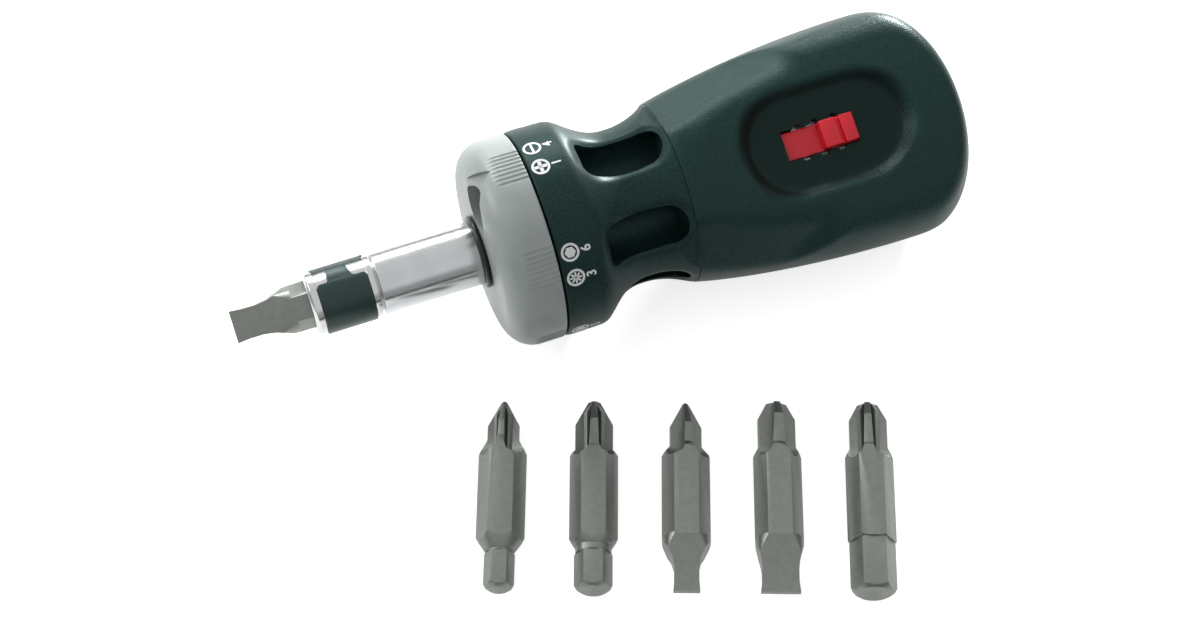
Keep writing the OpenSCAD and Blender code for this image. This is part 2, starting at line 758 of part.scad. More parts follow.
// The two pins that the pawls turn on
module pawl_pins() {
    color("#a5a9ab") for (side = [-1, 1])
        at_angle(thumb_angle + side * pawl_pin_angle, pawl_pin_pitch_r)
            bar_x(carrier_x, carrier_t + pin_reach + gear_w, pawl_pin_r);
}

// The two leaf springs that press the pawls onto the gear
module pawl_springs() {
    color("#9aa0a2") {
        arc_x(pawl_x, pawl_w, leaf_out_r, leaf_in_r, thumb_angle + leaf_start, leaf_sweep);
        arc_x(pawl_x, pawl_w, leaf_out_r, leaf_in_r, thumb_angle - leaf_start - leaf_sweep, leaf_sweep);
    }
}

// One pawl on the thumb flat's front side, its nose just clear of the gear's tips
module pawl_form() {
    base = pawl_nose_w / 2 / pawl_in_r * 180 / PI;
    tip = pawl_nose_tip_w / 2 / pawl_nose_r * 180 / PI;
    near = pawl_nose_angle - base;
    far = pawl_nose_angle + base;
    outer = [for (i = [0 : arc_steps]) spot(near + (pawl_pin_angle - near) * i / arc_steps, pawl_out_r)];
    inner = [for (i = [arc_steps : -1 : 0]) spot(far + (pawl_pin_angle - far) * i / arc_steps, pawl_in_r)];
    nose = [spot(pawl_nose_angle + tip, pawl_nose_r), spot(pawl_nose_angle - tip, pawl_nose_r),
        spot(near, pawl_in_r)];
    difference() {
        union() {
            translate([pawl_x, 0, 0]) along_x() linear_extrude(height = pawl_w)
                polygon(concat(outer, inner, nose));
            at_angle(pawl_pin_angle, pawl_pin_pitch_r)
                bar_x(pawl_x - boss_proud, pawl_w + 2 * boss_proud, pawl_boss_r);
        }
        at_angle(pawl_pin_angle, pawl_pin_pitch_r)
            bar_x(pawl_x - over, pawl_w + 2 * over, pawl_pin_r + run_gap);
    }
}

// The pawl that holds when screws are driven, next to the gear at rest
module forward_pawl() { color("#8b8f92") thumb_frame() pawl_form(); }

// The pawl that holds when screws are drawn, lifted at rest
module reverse_pawl() {
    pin_y = pawl_pin_pitch_r * sin(pawl_pin_angle);
    pin_z = pawl_pin_pitch_r * cos(pawl_pin_angle);
    color("#8b8f92") thumb_frame() translate([0, pin_y, pin_z]) rotate([-pawl_lift, 0, 0])
        translate([0, -pin_y, -pin_z]) mirror([0, 1, 0]) pawl_form();
}

// The red slider, at the rear end of its slot
module direction_slider() {
    rest_x = slot_x + slider_travel / 2;
    color("#c23b2e") thumb_frame() {
        translate([rest_x - plate_len / 2, -plate_w / 2, plate_top_h - plate_t])
            cube([plate_len, plate_w, plate_t]);
        translate([rest_x - slider_len / 2, -slider_w / 2, plate_top_h])
            cube([slider_len, slider_w, recess_floor_h - plate_top_h + slider_proud]);
        for (x = [-slider_rib_pitch / 2, slider_rib_pitch / 2])
            translate([rest_x + x, 0, recess_floor_h + slider_proud]) rotate([90, 0, 0])
                cylinder(h = slider_w, r = slider_rib_w / 2, center = true, $fn = small_fn);
    }
}

// The steel plate under the slider that lifts one pawl or the other
module shift_plate() {
    rest_x = slot_x + slider_travel / 2;
    color("#9aa0a2") thumb_frame()
        translate([rest_x - shift_len / 2, -shift_w / 2, plate_top_h - plate_t - shift_t])
            cube([shift_len, shift_w, shift_t]);
}

magazine();
grip_upper_shell();
grip_lower_shell();
cap_retaining_ring();
front_bush();
middle_bush();
rear_bush();
pawl_carrier();
pawl_pins();
pawl_springs();
detent_spring();
selector_cap();
detent_ball();
holder_head();
bit_clip();
chrome_sleeve();
spindle();
socket_magnet();
ratchet_gear();
spindle_circlip();
direction_slider();
shift_plate();
forward_pawl();
reverse_pawl();
drive_bit();
bit_hex4();
bit_hex5();
bit_slot4();
bit_slot6();
bit_hex6();
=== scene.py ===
"""A stubby ratcheting screwdriver and its loose bits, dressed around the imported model.

The classes hold their sizes in millimetres. A piece is modelled in millimetres in the row
frame and becomes metres when it is finished. The tool's axis is X, with the tip towards -X.
"""

import logging
import math
from collections.abc import Sequence
from dataclasses import dataclass, field
from enum import Enum

import bpy
import numpy as np
from mathutils import Matrix, Vector


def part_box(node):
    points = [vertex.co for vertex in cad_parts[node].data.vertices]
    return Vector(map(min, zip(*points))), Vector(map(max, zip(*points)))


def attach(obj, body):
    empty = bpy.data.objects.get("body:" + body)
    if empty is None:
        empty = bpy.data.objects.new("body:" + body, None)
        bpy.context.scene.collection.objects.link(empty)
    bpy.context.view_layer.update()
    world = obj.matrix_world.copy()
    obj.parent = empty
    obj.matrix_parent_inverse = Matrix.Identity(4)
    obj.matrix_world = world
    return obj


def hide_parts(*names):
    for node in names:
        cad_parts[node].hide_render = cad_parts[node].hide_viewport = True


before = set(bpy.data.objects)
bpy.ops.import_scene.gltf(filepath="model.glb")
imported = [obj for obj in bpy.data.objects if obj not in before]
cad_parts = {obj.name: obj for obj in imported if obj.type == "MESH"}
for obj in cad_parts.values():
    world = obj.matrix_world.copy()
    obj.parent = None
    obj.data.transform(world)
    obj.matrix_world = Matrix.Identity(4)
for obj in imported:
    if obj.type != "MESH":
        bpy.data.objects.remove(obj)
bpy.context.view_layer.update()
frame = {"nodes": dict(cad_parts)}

logging.basicConfig(level=logging.INFO, format="%(name)s: %(message)s")
log = logging.getLogger("screwdriver")

MM = 0.001
THUMB_ANGLE = 23.0
BAY_COUNT = 6
FIRST_BAY = THUMB_ANGLE - 180.0 / BAY_COUNT
OVERRUN = 1.0
END_SLACK = 0.01
TINY = 1e-6
MERGE = 1e-4
NOISE_MEAN = 0.5
SIDES = (-1, 1)

Point = tuple[float, float]
Pair = tuple[float, float]
Spot = tuple[float, float, float]
Colour = tuple[float, float, float]


@dataclass(frozen=True)
class Layout:
    """Sizes that several pieces follow."""

    seam_x: float = 57.8
    seam_r: float = 14.3
    facet_turn: float = 50.7
    facet_h: float = 13.67
    facet_rise: float = 0.121
    bay_pitch_r: float = 9.8
    band_x: float = 36.1
    band_r: float = 16.3
    bit_turn: float = 34.0


LAYOUT = Layout()


def node_box(node: str) -> tuple[np.ndarray, np.ndarray]:
    """Gives a CAD node's lowest and highest corners.

    Args:
        node: The node's name.

    Returns:
        The two corners, in millimetres.
    """
    low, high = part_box(node)
    return np.array(low) / MM, np.array(high) / MM


def around(angle: float, radius: float) -> Point:
    """Gives Y and Z of a place at an angle from straight up towards the front."""
    turn = math.radians(angle)
    return -radius * math.sin(turn), radius * math.cos(turn)


def bay_angles() -> list[float]:
    """Lists the angles of the six bit bays."""
    return [FIRST_BAY + 360.0 / BAY_COUNT * k for k in range(BAY_COUNT)]


def rounded(x: float, r: float, edge: float, steps: int, rear: bool = False) -> list[Point]:
    """Lists a quarter round at an outer corner of a turned outline.

    Args:
        x: The corner's station.
        r: The corner's distance from the axis.
        edge: The radius of the rounding.
        steps: The number of points.
        rear: Whether the corner faces the butt.

    Returns:
        The (x, radius) points, from the tip's side.
    """
    turns = np.linspace(0, math.pi / 2, steps)
    if rear:
        return [(x - edge * (1 - math.sin(a)), r - edge * (1 - math.cos(a))) for a in turns]
    return [(x + edge * (1 - math.cos(a)), r - edge * (1 - math.sin(a))) for a in turns]


class Bench:
    """Edit-mode and modifier work on one piece at a time, in millimetres."""

    @staticmethod
    def clear() -> None:
        """Leaves edit mode and deselects everything."""
        if bpy.context.object is not None and bpy.context.object.mode != "OBJECT":
            bpy.ops.object.mode_set(mode="OBJECT")
        bpy.ops.object.select_all(action="DESELECT")

    @staticmethod
    def pick(piece: bpy.types.Object) -> None:
        """Makes one piece the selected and active one.

        Args:
            piece: The piece.
        """
        Bench.clear()
        piece.select_set(True)
        bpy.context.view_layer.objects.active = piece

    @staticmethod
    def named(name: str) -> bpy.types.Object:
        """Names the new primitive and applies its place.

        Args:
            name: The piece's name.

        Returns:
            The piece.
        """
        piece = bpy.context.object
        piece.name = name
        piece.data.name = name
        bpy.ops.object.transform_apply(location=True, rotation=True, scale=True)
        return piece

    @staticmethod
    def line(name: str, points: Sequence[Spot]) -> bpy.types.Object:
        """Draws a line by extruding one vertex from point to point, and stays in edit mode.

        Args:
            name: The piece's name.
            points: The points that the line follows.

        Returns:
            The new piece.
        """
        Bench.clear()
        bpy.ops.mesh.primitive_plane_add(size=1.0)
        piece = Bench.named(name)
        bpy.ops.object.mode_set(mode="EDIT")
        bpy.ops.mesh.select_mode(type="VERT")
        bpy.ops.mesh.select_all(action="SELECT")
        bpy.ops.mesh.merge(type="CENTER")
        bpy.ops.transform.translate(value=points[0])
        for start, end in zip(points, points[1:]):
            step = Vector(end) - Vector(start)
            bpy.ops.mesh.extrude_region_move(TRANSFORM_OT_translate={"value": step})
        bpy.ops.mesh.select_all(action="SELECT")
        return piece

    @staticmethod
    def turned(name: str, outline: Sequence[Point], sides: int) -> bpy.types.Object:
        """Spins an outline round the tool's axis into a closed solid.

        Args:
            name: The piece's name.
            outline: The (x, radius) points, which start and end on the axis or close a ring.
            sides: The number of steps of the turn.

        Returns:
            The new piece.
        """
        piece = Bench.line(name, [(x, 0.0, r) for x, r in outline])
        bpy.ops.mesh.spin(steps=sides, angle=2 * math.pi, center=(0, 0, 0), axis=(1, 0, 0))
        Bench.close()
        return piece

    @staticmethod
    def close() -> None:
        """Merges the doubles of the piece in edit mode and turns its faces outwards."""
        bpy.ops.mesh.select_all(action="SELECT")
        bpy.ops.mesh.remove_doubles(threshold=MERGE)
        bpy.ops.mesh.normals_make_consistent(inside=False)
        bpy.ops.object.mode_set(mode="OBJECT")

    @staticmethod
    def mend(piece: bpy.types.Object) -> None:
        """Merges a whole mesh's doubles and turns its faces outwards.

        Args:
            piece: The piece.
        """
        Bench.pick(piece)
        bpy.ops.object.mode_set(mode="EDIT")
        Bench.close()

    @staticmethod
    def prism(name: str, outline: Sequence[Spot], depth: Spot) -> bpy.types.Object:
        """Fills a flat outline and extrudes it along depth.

        Args:
            name: The piece's name.
            outline: The corners, in order.
            depth: The vector that the face is extruded by.

        Returns:
            The new piece.
        """
        piece = Bench.line(name, outline)
        bpy.ops.mesh.edge_face_add()
        bpy.ops.mesh.extrude_region_move(TRANSFORM_OT_translate={"value": depth})
        Bench.close()
        return piece

    @staticmethod
    def bar(name: str, x: float, length: float, radius: float, sides: int,
            yz: Point = (0.0, 0.0)) -> bpy.types.Object:
        """Adds a round or polygonal bar along X.

        Args:
            name: The piece's name.
            x: Where it starts.
            length: How long it is.
            radius: Its radius over the corners.
            sides: How many sides it has.
            yz: The place of its own axis.

        Returns:
            The new piece.
        """
        Bench.clear()
        bpy.ops.mesh.primitive_cylinder_add(
            vertices=sides, radius=radius, depth=length,
            location=(x + length / 2, *yz), rotation=(0, math.pi / 2, 0))
        return Bench.named(name)

    @staticmethod
    def peg(name: str, spot: Spot, radius: float, height: float, sides: int) -> bpy.types.Object:
        """Adds a round peg along Z.

        Args:
            name: The piece's name.
            spot: The place of its middle.
            radius: Its radius.
            height: How long it is.
            sides: How many sides it has.

        Returns:
            The new piece.
        """
        Bench.clear()
        bpy.ops.mesh.primitive_cylinder_add(vertices=sides, radius=radius, depth=height, location=spot)
        return Bench.named(name)

    @staticmethod
    def block(name: str, low: Spot, high: Spot) -> bpy.types.Object:
        """Adds a box between two corners.

        Args:
            name: The piece's name.
            low: Its lowest corner.
            high: Its highest corner.

        Returns:
            The new piece.
        """
        Bench.clear()
        middle = [(a + b) / 2 for a, b in zip(low, high)]
        bpy.ops.mesh.primitive_cube_add(size=1.0, location=middle)
        bpy.context.object.scale = [b - a for a, b in zip(low, high)]
        return Bench.named(name)

    @staticmethod
    def modify(piece: bpy.types.Object, kind: str, **settings: object) -> None:
        """Adds one modifier with its settings and applies it.

        Args:
            piece: The piece to change.
            kind: The modifier's type.
            settings: The modifier's own settings.
        """
        Bench.pick(piece)
        modifier = piece.modifiers.new(kind.lower(), kind)
        for key, value in settings.items():
            setattr(modifier, key, value)
        bpy.ops.object.modifier_apply(modifier=modifier.name)

    @staticmethod
    def combine(piece: bpy.types.Object, tool: bpy.types.Object, how: str = "DIFFERENCE") -> None:
        """Combines a piece with another one, which is used up.

        Args:
            piece: The piece that stays.
            tool: The piece that cuts it, joins it or limits it.
            how: DIFFERENCE, UNION or INTERSECT.
        """
        Bench.modify(piece, "BOOLEAN", operation=how, object=tool, solver="MANIFOLD")
        mesh = tool.data
        bpy.data.objects.remove(tool)
        bpy.data.meshes.remove(mesh)

    @staticmethod
    def join(name: str, pieces: Sequence[bpy.types.Object]) -> bpy.types.Object:
        """Joins several pieces into one object, with their shells apart.

        Args:
            name: The joined piece's name.
            pieces: The pieces, of which the first one stays.

        Returns:
            The joined piece.
        """
        Bench.pick(pieces[0])
        for piece in pieces:
            piece.select_set(True)
        bpy.ops.object.join()
        pieces[0].name = name
        pieces[0].data.name = name
        return pieces[0]

    @staticmethod
    def bevel(piece: bpy.types.Object, width: float, segments: int = 2,
              angle: float = 30.0) -> None:
        """Rounds a piece's sharp edges.

        Args:
            piece: The piece to round.
            width: The width of the rounding.
            segments: Its number of facets.
            angle: The least angle of an edge that is rounded, in degrees.
        """
        Bench.modify(piece, "BEVEL", width=width, segments=segments, limit_method="ANGLE",
                     angle_limit=math.radians(angle), use_clamp_overlap=True)

    @staticmethod
    def turn(piece: bpy.types.Object, matrix: Matrix) -> None:
        """Moves a piece's mesh by a matrix."""
        piece.data.transform(matrix)
        piece.data.update()

    @staticmethod
    def roll(piece: bpy.types.Object, angle: float, axis: str = "X") -> None:
        """Turns a piece's mesh round one of the frame's axes, in degrees."""
        Bench.turn(piece, Matrix.Rotation(math.radians(angle), 4, axis))

    @staticmethod
    def points(piece: bpy.types.Object) -> np.ndarray:
        """Reads a piece's vertices.

        Args:
            piece: The piece.

        Returns:
            Rows of X, Y and Z.
        """
        flat = np.empty(len(piece.data.vertices) * 3, np.float32)
        piece.data.vertices.foreach_get("co", flat)
        return flat.reshape(-1, 3).astype(float)

    @staticmethod
    def place_points(piece: bpy.types.Object, points: np.ndarray) -> None:
        """Writes a piece's vertices from rows of X, Y and Z."""
        piece.data.vertices.foreach_set("co", points.astype(np.float32).ravel())
        piece.data.update()

    @staticmethod
    def finish(piece: bpy.types.Object, body: str, slot: str, finish: "Finish",
               nodes: Sequence[str] = (), smooth: float = 32.0) -> bpy.types.Object:
        """Turns a modelled piece into metres, dresses it and hangs it on its body.

        Args:
            piece: The piece, modelled in millimetres.
            body: The CAD body that it rides on.
            slot: The record's material slot; not used.
            finish: What it is made of.
            nodes: The CAD nodes that it stands for.
            smooth: The angle under which its edges are shaded smooth, in degrees.

        Returns:
            The finished piece.
        """
        Bench.pick(piece)
        piece.scale = (MM, MM, MM)
        bpy.ops.object.transform_apply(location=True, rotation=True, scale=True)
        bpy.ops.object.shade_smooth_by_angle(angle=math.radians(smooth))
        piece.data.materials.clear()
        piece.data.materials.append(finish.material())
        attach(piece, body)
        if nodes:
            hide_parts(*nodes)
        Bench.clear()
        log.info("%s: %d faces on %s", piece.name, len(piece.data.polygons), body)
        return piece


class Shade:
    """A shader socket that takes part in Python sums."""

    def __init__(self, tree: "NodeTree", socket: bpy.types.NodeSocket) -> None:
        """Wraps a socket of a node tree that is being put together."""
        self.tree = tree
        self.socket = socket

    def _sum(self, operation: str, *values: "Shade | float") -> "Shade":
        """Adds one Math node."""
        return self.tree.node("ShaderNodeMath", {"operation": operation}, *values)

    def __add__(self, other: "Shade | float") -> "Shade":
        """Adds a value."""
        return self._sum("ADD", self, other)

    __radd__ = __add__

    def __sub__(self, other: "Shade | float") -> "Shade":
        """Takes a value away."""
        return self._sum("SUBTRACT", self, other)

    def __mul__(self, other: "Shade | float") -> "Shade":
        """Multiplies by a value."""
        return self._sum("MULTIPLY", self, other)

    def __truediv__(self, other: "Shade | float") -> "Shade":
        """Divides by a value."""
        return self._sum("DIVIDE", self, other)

    def power(self, other: float) -> "Shade":
        """Raises the value to a power."""
        return self._sum("POWER", self, other)

    def size(self) -> "Shade":
        """Drops the value's sign."""
        return self._sum("ABSOLUTE", self)

    def ramp(self, low: float, high: float) -> "Shade":
        """Rises smoothly from 0 at low to 1 at high."""
        return self.tree.node(
            "ShaderNodeMapRange", {"interpolation_type": "SMOOTHSTEP"}, self, low, high, 0.0, 1.0)


class NodeTree:
    """A node tree while it is being put together."""

    def __init__(self, tree: bpy.types.NodeTree) -> None:
        """Starts with an empty tree."""
        self.tree = tree
        self.tree.nodes.clear()

    def node(self, kind: str, settings: dict[str, object], *inputs: object,
             output: str | None = "") -> Shade | None:
        """Adds one node, with its settings first and then its sockets.

        Args:
            kind: The node's type.
            settings: The node's own settings.
            inputs: The values or links of its sockets, in order; None leaves one as it is.
            output: The name of the output that is wrapped, or nothing for the first one; None
                is for a node that has none.

        Returns:
            The node's output.
        """
        made = self.tree.nodes.new(kind)
        for key, value in settings.items():
            setattr(made, key, value)
        for socket, value in zip([s for s in made.inputs if s.enabled], inputs):
            self.feed(socket, value)
        if output is None:
            return None
        sockets = [s for s in made.outputs if s.enabled]
        return Shade(self, next(s for s in sockets if output in ("", s.name, s.identifier)))

    def feed(self, socket: bpy.types.NodeSocket, value: object) -> None:
        """Sets a socket to a number or colour, or links it to a wrapped socket.

        Args:
            socket: The socket.
            value: What it gets; None leaves it as it is.
        """
        if isinstance(value, Shade):
            self.tree.links.new(value.socket, socket)
        elif value is not None:
            socket.default_value = value

    def blend(self, share: Shade, first: "tuple | Shade", second: "tuple | Shade") -> Shade:
        """Mixes two colours by a share."""
        return self.node("ShaderNodeMix", {"data_type": "RGBA"}, share, first, second,
                         output="Result_Color")

    def seen(self, mirror_share: float) -> Shade:
        """Shows something to the camera and, less strongly, in mirrors and through glass.

        Args:
            mirror_share: How strongly mirrors and glass show it.

        Returns:
            1 for the camera's rays and mirror_share for glossy and transmission rays.
        """
        camera, glossy, passed = (self.node("ShaderNodeLightPath", {}, output=f"Is {kind} Ray")
                                  for kind in ("Camera", "Glossy", "Transmission"))
        return camera + (glossy + passed) * mirror_share


class Paint(NodeTree):
    """The node tree of one material."""

    def __init__(self, name: str) -> None:
        """Starts a material with its shader and output.

        Args:
            name: The material's name.
        """
        self.material = bpy.data.materials.new(name)
        self.material.use_nodes = True
        super().__init__(self.material.node_tree)
        self.shader = self.tree.nodes.new("ShaderNodeBsdfPrincipled")
        output = self.tree.nodes.new("ShaderNodeOutputMaterial")
        self.tree.links.new(self.shader.outputs["BSDF"], output.inputs["Surface"])

    def place(self) -> Shade:
        """Gives the place on the object, in millimetres."""
        spot = self.node("ShaderNodeTexCoord", {}, output="Object")
        return self.node("ShaderNodeVectorMath", {"operation": "SCALE"}, spot, 1 / MM)

    def along(self, way: Spot) -> Shade:
        """Gives the place along a direction, in millimetres."""
        return self.node("ShaderNodeVectorMath", {"operation": "DOT_PRODUCT"}, self.place(), way,
                         output="Value")

    def noise(self, grain: "Grain") -> Shade:
        """Gives a noise on the object, from 0 to 1."""
        spot = self.node("ShaderNodeVectorMath", {"operation": "MULTIPLY"}, self.place(), grain.stretch)
        return self.node("ShaderNodeTexNoise", {}, spot, grain.scale, grain.detail, grain.roughness)

    def bump(self, height: Shade, depth: float) -> None:
        """Raises the surface by a height.

        Args:
            height: The height, from 0 to 1.
            depth: What a height of 1 stands for, in millimetres.
        """
        made = self.tree.nodes.new("ShaderNodeBump")
        made.inputs["Strength"].default_value = 1.0
        made.inputs["Distance"].default_value = depth * MM
        self.tree.links.new(height.socket, made.inputs["Height"])
        self.tree.links.new(made.outputs["Normal"], self.shader.inputs["Normal"])

    def set(self, **values: object) -> None:
        """Sets the shader's sockets; an underscore in a name stands for a space."""
        for name, value in values.items():
            self.feed(self.shader.inputs[name.replace("_", " ")], value)


@dataclass(frozen=True)
class Grain:
    """A noise, with its lumps per millimetre and its finer layers."""

    scale: float
    detail: float = 2.0
    roughness: float = 0.5
    stretch: Spot = (1.0, 1.0, 1.0)


@dataclass(frozen=True)
class Finish:
    """What a piece is made of: a fine noise roughens it, and a broad one clouds its colour."""

    name: str
    colour: Colour
    roughness: float = 0.4
    metallic: float = 0.0
    depth: float = 0.006
    fine: Grain = Grain(6.0)
    broad: Grain = Grain(0.35)
    cloud: Pair = (0.3, 0.7)
    tones: Pair = (0.95, 1.05)
    swing: float = 0.1

    def material(self) -> bpy.types.Material:
        """Makes the material the first time that it is asked for.

        Returns:
            The material.
        """
        found = bpy.data.materials.get(self.name)
        if found is not None:
            return found
        paint = Paint(self.name)
        self.mix(paint)
        return paint.material

    def mix(self, paint: Paint) -> None:
        """Sets up the shader.

        Args:
            paint: The material that is being painted.
        """
        fine, broad = paint.noise(self.fine), paint.noise(self.broad)
        paint.set(Base_Color=self.tone(paint, broad.ramp(*self.cloud)), Metallic=self.metallic,
                  Roughness=self.roughness + (fine - NOISE_MEAN) * self.swing)
        paint.bump(fine, self.depth)

    def tone(self, paint: Paint, share: Shade) -> Shade:
        """Mixes the finish's two tones."""
        return paint.blend(share, *(self.shade(tone) for tone in self.tones))

    def shade(self, share: float) -> tuple[float, float, float, float]:
        """Gives the colour, lighter or darker by a share."""
        return (*(min(1.0, c * share) for c in self.colour), 1.0)


@dataclass(frozen=True)
class GrainedPlastic(Finish):
    """Moulded plastic with a fine spark-eroded grain, which also speckles its colour."""

    roughness: float = 0.45
    fine: Grain = Grain(4.0)
    broad: Grain = Grain(0.25)
    tones: Pair = (0.75, 1.25)
    swing: float = 0.12
    broad_swing: float = 0.08
    gloss: float = 0.24
    sheen: Colour = (0.62, 1.0, 0.95)

    def mix(self, paint: Paint) -> None:
        """Sets up the shader.

        Args:
            paint: The material that is being painted.
        """
        fine, broad = paint.noise(self.fine), paint.noise(self.broad)
        rough = self.roughness + (broad - NOISE_MEAN) * self.broad_swing + (fine - NOISE_MEAN) * self.swing
        paint.set(Base_Color=self.tone(paint, fine.ramp(*self.cloud)), Roughness=rough,
                  Specular_IOR_Level=self.gloss, Specular_Tint=(*self.sheen, 1.0))
        paint.bump(fine, self.depth)


@dataclass(frozen=True)
class GripPlastic(GrainedPlastic):
    """The grip's plastic, with painted shade that darkens its colour inside the thumb recess."""

    recess_x: float = 82.0
    half_len: float = 13.6
    half_w: float = 8.6
    corner_power: float = 4.0
    edge: Pair = (0.55, 1.25)
    side_h: float = 2.0
    # Painted shade: how far the colour is darkened inside the thumb recess.
    recess_shade_share: float = 0.3

    def tone(self, paint: Paint, share: Shade) -> Shade:
        """Mixes the speckled colour and darkens it inside the recess as painted shade.

        Args:
            paint: The material that is being painted.
            share: The speckles, from 0 to 1.

        Returns:
            The colour.
        """
        up = math.radians(THUMB_ANGLE)
        along = (paint.along((1.0, 0.0, 0.0)) - self.recess_x).size() / self.half_len
        across = paint.along((0.0, -math.cos(up), -math.sin(up))).size() / self.half_w
        high = paint.along((0.0, -math.sin(up), math.cos(up)))
        outside = (along.power(self.corner_power) + across.power(self.corner_power)).ramp(*self.edge)
        under = high.ramp(self.side_h, 0.0)
        # Painted shade: the speckled colour darkened inside the thumb recess, on the thumb side only.
        dark = paint.blend(share, *(self.shade(self.recess_shade_share * tone) for tone in self.tones))
        return paint.blend((outside + under).ramp(0.0, 1.0), dark, super().tone(paint, share))


@dataclass(frozen=True)
class SatinPlastic(Finish):
    """Smooth moulded plastic with a faint cloudiness."""

    broad: Grain = Grain(0.35, 3.0)
    cloud: Pair = (0.25, 0.75)
    tones: Pair = (0.95, 1.04)


@dataclass(frozen=True)
class TurnedMetal(Finish):
    """Metal with fine turning lines round the axis."""

    metallic: float = 1.0
    depth: float = 0.002
    fine: Grain = Grain(9.0, 2.0, 0.6, (1.0, 0.02, 0.02))
    broad: Grain = Grain(0.3)
    tones: Pair = (0.93, 1.0)
    swing: float = 0.08


@dataclass(frozen=True)
class BlastedSteel(Finish):
    """Dull, evenly blasted steel with slight mottling."""

    metallic: float = 1.0
    fine: Grain = Grain(7.0, 3.0, 0.6)
    broad: Grain = Grain(0.9, 3.0, 0.6)
    swing: float = 0.16


@dataclass(frozen=True)
class PrintedInk(Finish):
    """Opaque printed ink."""

    roughness: float = 0.5
    broad: Grain = Grain(5.0)
    tones: Pair = (0.94, 1.0)

    def mix(self, paint: Paint) -> None:
        """Sets up the shader."""
        paint.set(Base_Color=self.tone(paint, paint.noise(self.broad).ramp(*self.cloud)),
                  Roughness=self.roughness)


MACHINED_LINES = Grain(5.0, 2.0, 0.6, (1.0, 0.02, 0.02))
BUSH_LINES = Grain(4.0, 2.0, 0.6, (1.0, 0.02, 0.02))

BLACK_PLASTIC = GripPlastic("grip plastic", (0.012, 0.034, 0.030), roughness=0.36, depth=0.06)
BAND_PLASTIC = GrainedPlastic("band plastic", (0.0095, 0.0270, 0.0250), roughness=0.42, depth=0.018,
                              tones=(0.6, 1.4))
GREY_PLASTIC = SatinPlastic("cap plastic", (0.34, 0.38, 0.365), roughness=0.38)
RED_PLASTIC = SatinPlastic("slider plastic", (0.74, 0.011, 0.028), roughness=0.34)
RING_RUBBER = SatinPlastic("ring rubber", (0.004, 0.010, 0.009), roughness=0.3)
CHROME = TurnedMetal("sleeve chrome", (0.68, 0.70, 0.71), roughness=0.21)
HEAD_CHROME = TurnedMetal("head chrome", (0.72, 0.73, 0.73), roughness=0.2)
MACHINED_STEEL = TurnedMetal("machined steel", (0.52, 0.53, 0.54), roughness=0.3, fine=MACHINED_LINES)
BRONZE = TurnedMetal("bush bronze", (0.50, 0.33, 0.14), roughness=0.38, fine=BUSH_LINES)
CLIP_STEEL = BlastedSteel("clip steel", (0.022, 0.048, 0.045), roughness=0.34, metallic=0.3, depth=0.004)
BIT_STEEL = BlastedSteel("bit steel", (0.245, 0.262, 0.238), roughness=0.36, metallic=0.8)
SPRING_STEEL = BlastedSteel("spring steel", (0.45, 0.46, 0.47), roughness=0.3, depth=0.003)
NICKEL = BlastedSteel("magnet nickel", (0.62, 0.60, 0.56), roughness=0.22, depth=0.003)
WHITE_INK = PrintedInk("band ink", (0.82, 0.84, 0.84))


def soft_max(first: np.ndarray, second: np.ndarray, blend: float) -> np.ndarray:
    """Takes the larger of two fields, with the crease between them rounded.

    Args:
        first: One field, in millimetres.
        second: The other field.
        blend: How far from the crease the rounding reaches, in millimetres.

    Returns:
        The joined field.
    """
    near = np.maximum(blend - np.abs(first - second), 0.0)
    return np.maximum(first, second) + near * near / (4 * blend)


def slot_distance(along: np.ndarray, across: np.ndarray, length: float, width: float,
                  corner: float) -> np.ndarray:
    """Measures how far a place is outside a rounded rectangle.

    Args:
        along: The place along the rectangle, from its middle.
        across: The place across it.
        length: The rectangle's length.
        width: Its width.
        corner: The radius of its corners.

    Returns:
        The distance, negative inside.
    """
    out_x = np.abs(along) - length / 2 + corner
    out_y = np.abs(across) - width / 2 + corner
    outside = np.hypot(np.maximum(out_x, 0), np.maximum(out_y, 0))
    return outside + np.minimum(np.maximum(out_x, out_y), 0) - corner


